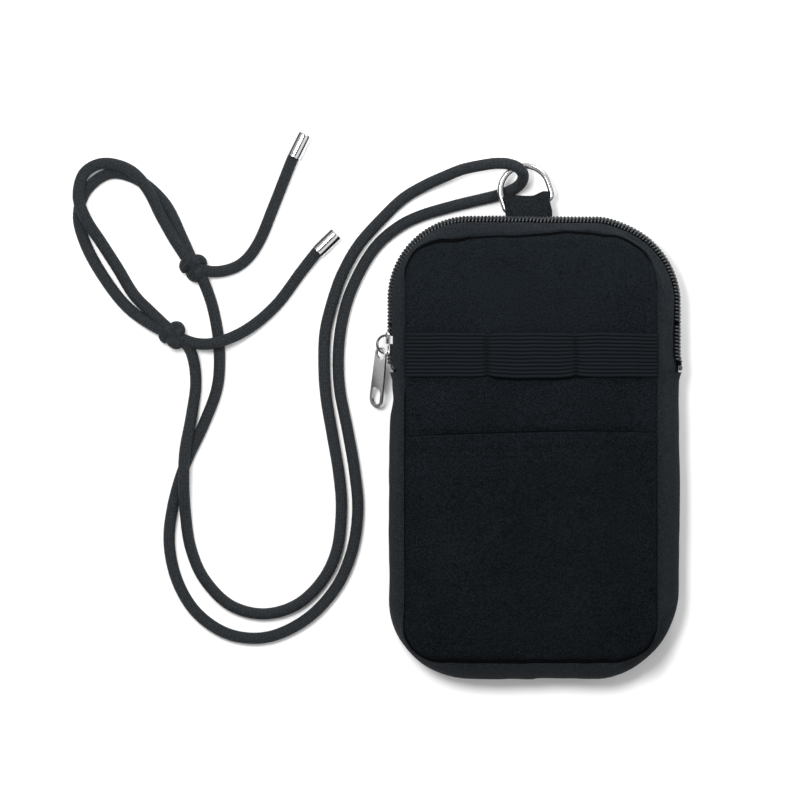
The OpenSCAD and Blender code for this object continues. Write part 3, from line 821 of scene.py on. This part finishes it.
def chain_point(s, lateral, radius):
    """lateral runs from the chain's middle towards the front, in millimetres round the section."""
    x, y, nx, ny, _ = outline(s)
    if x < 0 and s > ZIP_RUN / 2:
        lateral += math.copysign(0.55 * ramp((SPLIT_Y - y) / 2.6), lateral)
    angle = math.radians(chain_angle(s)) + lateral / radius
    radius -= tuck(x, y)
    off, z = radius * math.cos(angle), HALF_T + radius * math.sin(angle)
    return np.array((x + nx * off, y + ny * off, z))


def zip_tape(name, side, replaced):
    rows, uv, under = [], [], []
    for s in np.arange(0.3, ZIP_RUN - 0.2, 1.6):
        line, low, flat = [], [], []
        for k in range(9):
            lateral = side * (0.35 + 5.1 * k / 8)
            ripple = 0.05 * math.sin(TAU * s / TOOTH_PITCH) if k < 3 else 0
            # on the right the tape dips with the drawn-in strip that covers it
            dip = 1.7 * ramp((abs(lateral) - 1.9) / 1.5) * ramp(outline(s)[0] / 30)
            line.append(chain_point(s, lateral, TAPE_R + ripple - dip))
            low.append(chain_point(s, lateral, TAPE_R - 0.5 - dip))
            flat.append((s, lateral))
        rows.append(line)
        under.append(low)
        uv.append(flat)
    tape = slab(name, rows, under, uv)
    dress(tape, TAPE)
    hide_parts(*replaced)
    return tape


def chain_length():
    """Distances along the outline, and along the chain outside it."""
    along = np.arange(0, ZIP_RUN + 0.1, 0.5)
    line = np.array([chain_point(s, 0, 10.2) for s in along])
    steps = np.linalg.norm(np.diff(line, axis=0), axis=1)
    return along, np.concatenate([[0.0], np.cumsum(steps)])


def zip_teeth(name, side, start, end, replaced):
    """One row of the coil: every tooth is a bent monofilament with its own hooked head."""
    bend = ((1.86, 9.2), (2.0, 9.85), (1.55, 10.42), (0.75, 10.62), (0.05, 10.42), (-0.35, 9.95), (-0.4, 9.4))
    parts = []
    along, run = chain_length()
    first = math.ceil(float(np.interp(start, along, run)) / TOOTH_PITCH)
    last = float(np.interp(end, along, run)) / TOOTH_PITCH
    for i in range(first, int(last) + 1):
        place = (i + (0.5 if side > 0 else 0.0)) * TOOTH_PITCH
        s = float(np.interp(place, run, along))
        if s > end:
            break
        line = []
        for k, (lateral, radius) in enumerate(bend):
            slant = 0.42 - 0.84 * k / (len(bend) - 1)
            line.append(chain_point(s + slant, side * lateral, radius))
        verts, faces, _ = tube_parts(line, (0.36, 0.44, 0.5, 0.52, 0.5, 0.44, 0.34), 8)
        parts.append((verts, faces))
    teeth = merged(name, parts, 60)
    dress(teeth, COIL)
    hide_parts(*replaced)
    # the cord inside the coil, coloured near-black: painted shade in the gaps between the teeth
    core = [chain_point(s, side * 1.05, 9.85) for s in np.arange(start - 0.4, end + 0.4, 0.9)]
    core = tube(name.replace("teeth", "coil_cord_as_painted_shade"), core, 0.7, 8)
    dress(core, PAINTED_SHADE)
    return teeth, core


def s_at(y, left):
    """Distance along the outline of a height on the zip's straight side runs."""
    return ZIP_RUN - (y - ZIP_END_Y) if left else y - ZIP_END_Y


def zipper():
    on_body(zip_tape("tape_rear", -1, ("zip_tape_rear",)), "pouch")
    across_fold(zip_tape("tape_front", 1, ("zip_tape_front_lower", "zip_tape_front_upper")))
    low, high = s_at(TEETH_END_Y, False), s_at(TEETH_END_Y, True)
    right, left = s_at(FOLD_Y, False), s_at(FOLD_Y, True)
    rows = (
        ("teeth_rear", -1, low, high, ("zip_coil_rear",), "pouch"),
        ("teeth_front_upper", 1, right + FOLD_GAP, left - FOLD_GAP, ("zip_coil_front_upper",), "flap"),
        ("teeth_front_right", 1, low, right - FOLD_GAP, (), "pouch"),
        ("teeth_front_left", 1, left + FOLD_GAP, high, ("zip_coil_front_lower",), "pouch"),
    )
    for name, side, start, end, replaced, body in rows:
        for piece in zip_teeth(name, side, start, end, replaced):
            on_body(piece, body)
    for node in ("zip_top_stops", "zip_bottom_stop"):
        stops(on_left(node), node)


def on_left(name):
    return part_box(name)[0][0] < 0


def stops(left, node):
    """Small clamps at the ends of the two rows of teeth."""
    parts = []
    for side in (-1, 1):
        for lateral in (0.6, 1.35):
            line = []
            for y in (30.3, 30.6, 31.2, 31.8, 32.1):
                line.append(chain_point(s_at(y, left), side * lateral, 10.0 + 0.2 * bump_at(y, 31.2, 0.7)))
            verts, faces, _ = tube_parts(line, (0.4, 0.62, 0.66, 0.62, 0.4), 10)
            parts.append((verts, faces))
    obj = merged(node + "_clamps", parts, 50)
    finish_piece(obj, COIL, "zip_coil", "pouch", node)


zipper()


# ---------------------------------------------------------------- the panels
def boundary(s_from, s_to, count, angle):
    return np.array([skin(s_from + (s_to - s_from) * i / count, angle) for i in range(count + 1)])


def corner_runs():
    ur = SIDE_UP + ARC / 2
    ul = SIDE_UP + ARC * 1.5 + TOP_RUN
    bl = ZIP_RUN + SIDE_DOWN + ARC / 2
    br = ZIP_RUN + SIDE_DOWN + ARC * 1.5 + TOP_RUN
    return ur, ul, bl, br


def patch(nu, nv, angle):
    """A grid over the panel, bounded by its seam: row 0 is the bottom, column 0 the left."""
    ur, ul, bl, br = corner_runs()
    bottom, top = boundary(bl, br, nu, angle), boundary(ul, ur, nu, angle)
    left, right = boundary(bl, ul, nv, angle), boundary(br, ur + LOOP, nv, angle)
    u, v = np.linspace(0, 1, nu + 1)[None, :, None], np.linspace(0, 1, nv + 1)[:, None, None]
    grid = (1 - v) * bottom[None] + v * top[None] + (1 - u) * left[:, None] + u * right[:, None]
    grid = grid - (1 - u) * (1 - v) * bottom[0] - u * (1 - v) * bottom[-1]
    return grid - (1 - u) * v * top[0] - u * v * top[-1]


def from_rim(grid):
    """Distance of each grid point from the panel's seam, and the height of the seam there."""
    rim = np.concatenate([grid[0], grid[:, -1], grid[-1], grid[:, 0]])
    flat = grid[..., :2].reshape(-1, 2)
    out, height = np.empty(len(flat)), np.empty(len(flat))
    for i in range(0, len(flat), 2000):
        part = flat[i : i + 2000]
        apart = np.sqrt(((part[:, None] - rim[None, :, :2]) ** 2).sum(2))
        near = np.exp(-((apart - apart.min(1)[:, None]) / 0.8) ** 2)
        out[i : i + 2000] = apart.min(1)
        height[i : i + 2000] = (near * rim[None, :, 2]).sum(1) / near.sum(1)
    return out.reshape(grid.shape[:2]), height.reshape(grid.shape[:2])


def noise_grid(grid, scale, seed):
    return np.array([[rough(p[0], p[1], 0, scale, seed) for p in row] for row in grid])


def panel_height(grid, d, seam, side):
    """Height of a padded panel: down into its seam, up over the foam's edge, then nearly flat."""
    seam = seam if side > 0 else 2 * HALF_T - seam
    full = HALF_T + 10.5
    rise = (full - seam) * (1 - np.exp(-d / 1.4)) + 0.5 * (1 - np.exp(-d / 11))
    soft = aramp(d / 7)
    ripple = 0.24 * noise_grid(grid, 23, 3.3) * soft + 0.1 * noise_grid(grid, 9, 8.1) * soft
    height = seam + rise + ripple
    if side > 0:  # the panel gives a little under the pocket's mouth
        height = height - 0.8 * soft * np.exp(-(((grid[..., 1] - mouth_line(grid[..., 0]) - 0.6) / 0.9) ** 2))
    return height if side > 0 else 2 * HALF_T - height


def upsample(grid, factor):
    """Catmull-Rom resampling of a grid in both directions."""

    def along(a):
        n = a.shape[0] - 1
        p = np.concatenate([2 * a[:1] - a[1:2], a, 2 * a[-1:] - a[-2:-1]])
        out = []
        for i in range(n):
            for k in range(factor):
                out.append(catmull(*p[i : i + 4], k / factor))
        out.append(a[-1])
        return np.array(out)

    return along(along(grid).transpose(1, 0, *range(2, grid.ndim))).transpose(1, 0, *range(2, grid.ndim))


def inflate(top, bottom, cap, pressure=1.2, frames=20):
    """Cloth simulation of a sewn pad: its seam and its back are held while its face swells."""
    pad = slab("pad_in_the_making", top, bottom)
    rows, cols = top.shape[:2]
    held = [rows * cols + k for k in range(rows * cols)]
    for i in range(rows):
        held += [i * cols + j for j in range(cols) if i in (0, rows - 1) or j in (0, cols - 1)]
    group = pad.vertex_groups.new(name="held")
    group.add(held, 1.0, "REPLACE")
    cloth = pad.modifiers.new("cloth", "CLOTH")
    settings = cloth.settings
    settings.quality = 6
    settings.mass = 0.0006
    settings.tension_stiffness = settings.compression_stiffness = 6
    settings.shear_stiffness = 3
    settings.bending_stiffness = 0.02
    settings.use_pressure = True
    settings.uniform_pressure_force = pressure
    settings.shrink_min = -0.012
    settings.effector_weights.gravity = 0
    settings.vertex_group_mass = "held"
    cloth.collision_settings.use_collision = False
    cloth.point_cache.frame_start, cloth.point_cache.frame_end = 1, frames
    for number in range(1, frames + 1):
        scene.frame_set(number)
    made = pad.evaluated_get(bpy.context.evaluated_depsgraph_get()).to_mesh()
    points = np.empty(len(made.vertices) * 3)
    made.vertices.foreach_get("co", points)
    moved = points.reshape(-1, 3)[: rows * cols].reshape(rows, cols, 3) / MM - top
    bpy.data.objects.remove(pad)
    scene.frame_set(1)
    size = np.linalg.norm(moved, axis=2)
    print("cloth moved", round(float(size.max()), 2), "mean", round(float(size.mean()), 2))
    limit = cap * np.tanh(size / cap)
    return moved * (limit / np.maximum(size, 1e-9))[..., None]


COARSE, FACTOR = (30, 50), 4
POCKET_LEFT, POCKET_RIGHT = 4.5, 6.1  # height of the pocket's mouth at each side
PANEL_LEFT, PANEL_W, PANEL_H = -50.5, 98, 165  # the front panel between its seams


def mouth_line(x):
    """Height of the slip pocket's mouth across the panel."""
    u = (x - PANEL_LEFT) / PANEL_W
    straight = POCKET_LEFT + (POCKET_RIGHT - POCKET_LEFT) * u
    return straight + 0.95 * np.sin(math.pi * u) + 0.12 * np.sin(9 * u + 1)


def padded_panel(name, side, cap):
    angle = side * SEAM_ANGLE
    coarse = patch(*COARSE, angle)
    d, seam = from_rim(coarse)
    coarse[..., 2] = panel_height(coarse, d, seam, side)
    back = coarse.copy()
    back[..., 2] -= side * (0.25 + 2.0 * aramp(d / 4))
    moved = inflate(coarse, back, cap)
    fine = patch(COARSE[0] * FACTOR, COARSE[1] * FACTOR, angle)
    d_fine, seam = from_rim(fine)
    fine[..., 2] = panel_height(fine, d_fine, seam, side)
    shift = upsample(moved, FACTOR)
    shift[..., :2] *= 0.5
    fine += shift * aramp(d_fine / 2.5)[..., None]
    if side < 0:
        fine[..., 2] = np.maximum(fine[..., 2], 0.02)
    under = fine.copy()
    inner = 2 * HALF_T - 2.75 if side > 0 else 2.75
    deep = aramp(d_fine / 3.5)
    under[..., 2] = (fine[..., 2] - side * 0.3) * (1 - deep) + inner * deep
    return fine, under, slab(name, fine, under, None, 60)


def lining(name, side, body, *stands_for):
    grid = patch(46, 76, side * 70.0)
    grid = grid * np.array((0.955, 0.972, 1.0))
    z = (2 * HALF_T - 2.85) if side > 0 else 2.85
    wave = 0.12 * noise_grid(grid, 18, 5.5 + side)
    grid[..., 2] = z - side * 0.1 + wave
    under = grid.copy()
    under[..., 2] -= side * 0.35
    obj = slab(name, grid, under)
    return finish_piece(obj, LINING, "lining_fabric", body, *stands_for)


def binding(name, side, body, *stands_for):
    """A folded tape sewn over the raw seam inside the pouch."""
    points = []
    for s in np.arange(0, LOOP, 1.8):
        x, y, nx, ny, extra = outline(s)
        off = SEAM_OFF - 2.1 + 0.55 * extra + 0.1 * math.sin(TAU * s / 12)
        z = HALF_T + side * 6.35
        points.append((lean(x + nx * off, z) if side > 0 else x + nx * off, y + ny * off, z))
    points.append(points[0])
    obj = tube(name, points, 1.2, 10, squash=(1.0, 0.45))
    return finish_piece(obj, BINDING, "binding_tape", body, *stands_for)


front_top, front_under, front_panel = padded_panel("front_panel", 1, 1.3)
finish_piece(
    front_panel, SHELL, "shell_fabric", None,
    "front_panel_lower", "front_panel_upper", "front_padding_lower", "front_padding_upper",
)
_, _, back_panel = padded_panel("rear_panel", -1, 0.7)
finish_piece(back_panel, SHELL, "shell_fabric", "pouch", "back_panel", "back_padding")
lining("front_lining", 1, None, "front_lining_lower", "front_lining_upper")
lining("rear_lining", -1, "pouch", "back_lining")
binding("front_binding", 1, None, "front_seam_binding_lower", "front_seam_binding_upper")
binding("rear_binding", -1, "pouch", "back_seam_binding")


def painted_seam_shadow(name, side):
    """Painted shadow: a near-black tube in the seam's groove, deepest in the upper left corner and along the
    bottom, where the groove's shade is darkest.
    """
    points, radii = [], []
    for s in np.arange(0, LOOP + 0.1, 1.1):
        x, y, z = skin(s, side * SEAM_ANGLE)
        _, ny = outline(s)[2:4]
        bottom = (0.6 + 0.4 * ramp((44 - abs(x)) / 20)) * ramp((-y - 66) / 8)
        strong = max(bump_at(x, -36, 15) * ramp((y - 62) / 8), bottom, 0.45 * ramp((y - 70) / 8))
        strong = max(strong, 0.3 * ramp((x + 40) / -8) * ramp((24 - y) / 4))
        points.append((x, y, z + side * (-0.5 + 0.8 * strong + 0.15 * rough(x, y, 0, 7, 5.0))))
        radii.append(0.22 + 0.85 * strong if side > 0 else 0.3)
        if side < 0:
            points[-1] = (x, y, max(points[-1][2], 0.35))
    obj = tube(name, points, radii, 8)
    finish_piece(obj, PAINTED_SHADE, "thread", "pouch" if side < 0 else None)


painted_seam_shadow("front_seam_shadow", 1)
painted_seam_shadow("rear_seam_shadow", -1)


# ---------------------------------------------------------------- what is sewn on the front
def on_front(u, v):
    """A point on the front panel's face; u runs left to right and v bottom to top, 0 to 1."""
    rows, cols = front_top.shape[0] - 1, front_top.shape[1] - 1
    a, b = min(max(v, 0), 1) * rows, min(max(u, 0), 1) * cols
    i, j = min(int(a), rows - 1), min(int(b), cols - 1)
    fi, fj = a - i, b - j
    low = front_top[i, j] * (1 - fj) + front_top[i, j + 1] * fj
    high = front_top[i + 1, j] * (1 - fj) + front_top[i + 1, j + 1] * fj
    return low * (1 - fi) + high * fi


def v_of(u, y):
    """The v that has this height, on the column u."""
    j = u * (front_top.shape[1] - 1)
    lo, hi = int(j), min(int(j) + 1, front_top.shape[1] - 1)
    column = front_top[:, lo, 1] * (1 - (j - lo)) + front_top[:, hi, 1] * (j - lo)
    return float(np.interp(y, column, np.linspace(0, 1, front_top.shape[0])))


def stitch_row(parts, points, length=1.9, gap=0.75, radius=0.14):
    """Stitches along a line of surface points, each dipping into the cloth at its ends."""
    line = smooth_line(points, 0.3)
    per, skip = int(length / 0.3), int(gap / 0.3)
    i = 0
    while i + per < len(line):
        piece = line[i : i + per + 1].copy()
        t = np.linspace(0, 1, len(piece))
        piece[:, 2] += 0.04 - 0.25 * (2 * t - 1) ** 4
        verts, faces, _ = tube_parts(piece, radius * (0.55 + 0.45 * np.sin(math.pi * t) ** 0.5), 6)
        parts.append((verts, faces))
        i += per + skip


HEM = 6.4


def slip_pocket():
    cols, rows = 120, 110
    top, under = [], []
    for i in range(rows + 1):
        t = i / rows
        t = 1 - (1 - t) ** 1.25
        line, low = [], []
        for j in range(cols + 1):
            u = j / cols
            mouth = float(mouth_line(PANEL_W * u + PANEL_LEFT))
            v = v_of(u, mouth) * t
            p = on_front(u, v)
            side = min(u, 1 - u) * PANEL_W
            foot = v * PANEL_H
            d = min(side, foot)
            down = mouth - p[1]
            clear = 0.18 + 0.75 * ramp(d / 2.2)
            hem = 0.42 * ramp((HEM + 0.4 - down) / 0.9) * ramp(d / 3)
            # the mouth stands open by a hair between its ends
            gape = (1.25 + 0.6 * rough(p[0], 0, 0, 16, 2.2)) * ramp(1 - down / 22) * ramp(side / 18)
            dip = -0.3 * bump_at(down, HEM, 0.7) * ramp(d / 3)
            z = p[2] + clear + hem + gape + dip
            roll = 0.3 * ramp(1 - down / 0.6)
            line.append((p[0], p[1], z - roll))
            thick = 0.7 + hem * 0.8
            low.append((p[0], p[1] - 0.1 * roll, z - min(thick, clear + gape + 0.3 * hem + 0.1)))
        top.append(line)
        under.append(low)
    obj = slab("slip_pocket_front", top, under, None, 60)
    finish_piece(obj, SHELL, "shell_fabric", "pouch", "slip_pocket")
    top = np.array(top)
    parts = []
    row = []
    for j in range(3, cols - 2, 2):
        column = top[:, j]
        y = float(mouth_line(PANEL_W * j / cols + PANEL_LEFT)) - HEM
        k = np.interp(y, column[:, 1], np.arange(rows + 1))
        base = column[int(k)] * (1 - (k % 1)) + column[min(int(k) + 1, rows)] * (k % 1)
        row.append(base)
    # painted shadow: a thin near-black tube along the pocket's mouth, standing for the shade in the gap under
    # it
    mouth_shadow = []
    for j in range(1, cols):
        u = j / cols
        y = float(mouth_line(PANEL_W * u + PANEL_LEFT)) + 0.12 + 0.1 * rough(PANEL_W * u, 0, 0, 9, 4.4)
        p = on_front(u, v_of(u, y))
        mouth_shadow.append((p[0], y, p[2] + 0.32 + 0.1 * rough(PANEL_W * u, 0, 0, 12, 6.4)))
    widths = [0.16 + 0.3 * ramp(min(k, len(mouth_shadow) - 1 - k) / 30) for k in range(len(mouth_shadow))]
    mouth_shadow = tube("pocket_mouth_shadow", mouth_shadow, widths, 8)
    finish_piece(mouth_shadow, PAINTED_SHADE, "thread", "pouch")
    stitch_row(parts, row)
    hem_stitches = merged("pocket_stitches", parts, 80)
    finish_piece(hem_stitches, THREAD, "thread", "pouch")


BAND_LOW, BAND_HIGH = 27.6, 44.9
STITCH_X = (-19.5, 15.8)
RIBS = 12


def band_lift(x, left, right):
    """The three loops: flat at each line of stitches and puffed between."""
    stops = [left, *STITCH_X, right]
    for a, b in zip(stops, stops[1:]):
        if x <= b or b == right:
            t = min(max((x - a) / (b - a), 0), 1)
            return math.sin(math.pi * t) ** 0.6 if 0 < t < 1 else 0.0
    return 0.0


def elastic_loops():
    cols, per = 200, 8
    rows = RIBS * per
    top, under, uv = [], [], []
    for i in range(rows + 1):
        t = i / rows
        line, low, flat = [], [], []
        for j in range(cols + 1):
            u = j / cols
            edge_l, edge_r = on_front(0, 0.7), on_front(1, 0.7)
            x_here = edge_l[0] + (edge_r[0] - edge_l[0]) * u
            lift = band_lift(x_here, edge_l[0], edge_r[0])
            pinch = 1 - lift
            middle_loop = STITCH_X[0] < x_here < STITCH_X[1]
            inside = ramp((min(u, 1 - u) * PANEL_W - 2) / 12)
            low_y = BAND_LOW + 1.0 * pinch**2 * inside - (0.55 if middle_loop else 0.0) * lift
            high_y = BAND_HIGH - 0.5 * pinch**2 * inside - 0.5 * ramp((x_here - 30) / 18)
            wobble = 0.22 * rough(x_here, 6 * t, 0, 9, 6.6)
            y = low_y + (high_y - low_y) * t + wobble
            p = on_front(u, v_of(u, y))
            side = min(u, 1 - u) * PANEL_W
            puff = 1.3 * lift * math.sin(math.pi * (0.1 + 0.8 * t)) ** 0.5
            puff *= 1.0 if middle_loop else 0.75
            tight = max(bump_at(x_here, stop, 0.75) for stop in STITCH_X)
            rib = 0.66 * (1 - 0.6 * tight) * abs(math.sin(math.pi * t * RIBS)) ** 0.5
            raised = (puff + 0.2 * rough(x_here, 9 * t, 0, 7, 1.2)) * ramp(side / 5)
            z = p[2] + 0.3 + 0.45 * ramp(side / 2) + raised + rib - 0.6 * tight
            line.append((p[0], y, z))
            low.append((p[0], y, max(z - rib - 0.55, p[2] + 0.05)))
            flat.append((p[0], t * RIBS * RIB))
        top.append(line)
        under.append(low)
        uv.append(flat)
    shade = []
    for j in range(4, cols - 3):
        x, y, z = top[0][j]
        deep = ramp((x - STITCH_X[0]) / 5) * ramp((STITCH_X[1] + 6 - x) / 6)
        base = on_front(j / cols, v_of(j / cols, y))
        shade.append((x, y - 0.28 * deep, base[2] + 0.2 + 0.25 * deep))
    middle = [ramp((p[0] - STITCH_X[0]) / 5) * ramp((STITCH_X[1] + 8 - p[0]) / 8) for p in shade]
    shade = tube("loop_edge_shade", shade, [0.12 + 0.42 * m for m in middle], 8)
    finish_piece(shade, PAINTED_SHADE, "thread", "pouch")
    obj = slab("elastic_loops", top, under, uv, 70)
    finish_piece(obj, ELASTIC, "elastic", "pouch", "elastic_band")
    top = np.array(top)
    parts = []
    for x in STITCH_X:
        column = int(np.argmin(np.abs(top[rows // 2, :, 0] - x)))
        for shift in (-1, 1):
            line = top[2 : rows - 1 : 3, column + shift].copy()
            line[:, 2] += 0.05
            stitch_row(parts, line, 1.2, 0.4, 0.13)
    rows_of = merged("loop_stitches", parts, 80)
    # the stitches take the painted shade: near-black for the shade of the groove they are sewn in
    finish_piece(rows_of, PAINTED_SHADE, "thread", "pouch", "band_stitches")


slip_pocket()
elastic_loops()


# ---------------------------------------------------------------- ring, its tab, slider and pull tab
def ring_tab():
    """A loop of webbing folded over the ring's bar, its ends sewn into the top seam."""
    lo, hi = (np.array(c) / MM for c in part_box("ring_tab"))
    mid_z, radius, thick = (lo[2] + hi[2]) / 2, 2.0, 0.42
    section = (-9.5, -8, -6.5, -5, -3.5, -1.6, 0)
    arc = [math.radians(90 - 180 * k / 8) for k in range(1, 8)]
    outer, inner, uv = [], [], []
    count, run = 32, 0.0
    stations = [(y, 90) for y in section] + [(0, math.degrees(a)) for a in arc]
    stations += [(y, -90) for y in reversed(section)]
    for y, degrees in stations:
        run += 0.8 if abs(degrees) < 90 else 1.5
        c, sn = math.cos(math.radians(degrees)), math.sin(math.radians(degrees))
        row, row_in, flat = [], [], []
        for j in range(count + 1):
            t = j / count
            # the edges clear the ring's legs when it swings up
            left = -11.9 + 0.5 * ramp((-2.2 - y) / 1.6)
            right = 5.9 + 0.9 * ramp((-1.5 - y) / 4)
            x = left + (right - left) * t
            top = 95.9 + 0.35 * t + 1.3 * ramp((t - 0.62) / 0.25) + 0.2 * math.sin(9 * t)
            sag = 0.22 * rough(x, y, 3 * sn, 6, 9.1) + 0.25 * math.sin(5.5 * t + 0.5) * c
            for part, r in ((row, radius + thick), (row_in, radius - thick)):
                part.append((x, top + y + r * c, mid_z + r * sn + sag))
            flat.append((x, run))
        outer.append(row)
        inner.append(row_in)
        uv.append(flat)
    obj = slab("ring_loop", outer, inner, uv, 60)
    finish_piece(obj, WEBBING, "webbing", "pouch", "ring_tab")


RING_R, RING_BEND, BAR_DROP, WIRE_R = 9.6, 2.0, 6.0, 1.2
RING_CENTRE, RING_LEAN = (-3.8, 100.4, 7.2), 18.0


def ring_wire():
    """One drawn wire bent to a D: a straight bar, two tight corners, short legs and a half round."""
    path = [(0.0, 0.0), (3.5, 0.0), (RING_R - RING_BEND, 0.0)]
    for k in range(1, 9):
        a = math.radians(-90 + 90 * k / 8)
        path.append((RING_R - RING_BEND + RING_BEND * math.cos(a), RING_BEND + RING_BEND * math.sin(a)))
    path.append((RING_R, 4.0))
    for k in range(0, 41):
        a = math.radians(180 * k / 40)
        path.append((RING_R * math.cos(a), BAR_DROP + RING_R * math.sin(a)))
    path.append((-RING_R, 4.0))
    for k in range(0, 9):
        a = math.radians(180 + 90 * k / 8)
        path.append((-RING_R + RING_BEND + RING_BEND * math.cos(a), RING_BEND + RING_BEND * math.sin(a)))
    path += [(-3.5, 0.0), (0.5, 0.0)]
    c, sn = math.cos(math.radians(RING_LEAN)), math.sin(math.radians(RING_LEAN))
    points = []
    for u, v in path:
        v -= BAR_DROP
        points.append((RING_CENTRE[0] + u * c - v * sn, RING_CENTRE[1] + u * sn + v * c, RING_CENTRE[2]))
    obj = tube("ring_wire", points, WIRE_R, 28)
    finish_piece(obj, RING_METAL, "ring_metal", "ring", "d_ring")


def slider_place(y, lateral, radius):
    """A point beside the chain's straight left run; y along it from the slider's middle."""
    tilt = math.radians(CHAIN_ANGLE)
    return (
        -PATH_W - radius * math.cos(tilt) + lateral * math.sin(tilt),
        SLIDER_Y + y,
        HALF_T + radius * math.sin(tilt) + lateral * math.cos(tilt),
    )


SLIDER_Y = 40.9
OUTER_R, INNER_R = 11.1, 7.0


def slider_half(y):
    """Half the body's width: wide where the two rows part, then a narrow nose."""
    body = 2.2 + 1.6 * ramp((y + 1.0) / 0.6)
    nose = 1.75
    w = body + (nose - body) * ramp((y - 2.75) / 0.6)
    ends = min(ramp((y + 4.5) / 0.9 + 0.35), ramp((4.5 - y) / 1.1 + 0.25))
    return w * (0.55 + 0.45 * ends)


def slider():
    parts = []

    def add(top, bottom):
        verts = [p for row in top for p in row] + [p for row in bottom for p in row]
        under = len(verts) // 2
        faces = []
        for a, b, c, d in sheet_faces(len(top), len(top[0])):
            # a face of the lower grid starts at its other corner
            faces.append((d, a, b, c) if min(a, b, c, d) >= under else (a, b, c, d))
        parts.append((verts, faces))

    steps, cols = 44, 16
    outer_top, outer_low, inner_top, inner_low = [], [], [], []
    for i in range(steps + 1):
        y = -4.5 + 9.0 * i / steps
        w = slider_half(y)
        block = (0.1 + 0.9 * ramp((y + 1.0) / 0.6)) * ramp((y + 4.4) / 0.8) * ramp((2.9 - y) / 0.5)
        nose = ramp((y - 3.1) / 0.4) * ramp((4.5 - y) / 0.6)
        rows = ([], [], [], [])
        for j in range(cols + 1):
            t = 2 * j / cols - 1
            dome = max(1 - abs(t) ** 3.2, 0) ** 0.5
            rows[0].append(slider_place(y, w * t, OUTER_R + 0.32 + (0.2 + 0.75 * block + 0.5 * nose) * dome))
            rows[1].append(slider_place(y, w * t, OUTER_R + 0.02))
            rows[2].append(slider_place(y, w * t, INNER_R + 0.8))
            rows[3].append(slider_place(y, w * t, INNER_R + 0.25 - 0.25 * dome))
        for keep, row in zip((outer_top, outer_low, inner_top, inner_low), rows):
            keep.append(row)
    add(outer_top, outer_low)
    add(inner_top, inner_low)
    for side in (-1, 1):
        for low, high in ((10.5, OUTER_R + 0.3), (INNER_R + 0.6, 8.3)):
            wall = [[], []]
            for i in range(13):
                y = -0.7 + 3.3 * i / 12
                w = slider_half(y)
                for keep, lateral in zip(wall, (w - 0.02, w - 0.42)):
                    heights = (low, (low + high) / 2, high)
                    keep.append([slider_place(y, side * lateral, height) for height in heights])
            add(*wall)
    post = [slider_place(-3.0, 0, 7.6 + 3.7 * k / 6) for k in range(7)]
    verts, faces, _ = tube_parts(post, 0.8, 10, squash=(1.0, 0.25))
    parts.append((verts, faces))
    body = merged("slider_plates", parts, 40)
    finish_piece(body, SLIDER_METAL, "slider_metal", "slider", "slider_body")
    bail = []
    for k in range(25):
        a = math.radians(-92 + 184 * k / 24)
        bail.append(slider_place(-0.6 + 3.48 * math.sin(a), 0, OUTER_R + 0.95 + 3.48 * math.cos(a)))
    # the bail takes the darkened slider metal: a painted reflection
    arch = tube("slider_bail", bail, 0.52, 12, squash=(0.9, 1.1))
    finish_piece(arch, BAIL_METAL_PAINTED_DARK, "slider_metal", "slider")


slider()
ring_wire()
ring_tab()


def keep_node(name, material, width):
    """Show a CAD node as it is, with a material and a small bevel."""
    obj = nodes[name]
    if not obj.material_slots:
        obj.data.materials.append(material)
    for slot in obj.material_slots:
        slot.material = material
    bevel = obj.modifiers.new("soft_edges", "BEVEL")
    bevel.width = width * MM
    bevel.segments = 3
    bevel.limit_method = "ANGLE"
    bevel.angle_limit = math.radians(35)
    bevel.harden_normals = False


keep_node("pull_tab", TAB_METAL, 0.14)
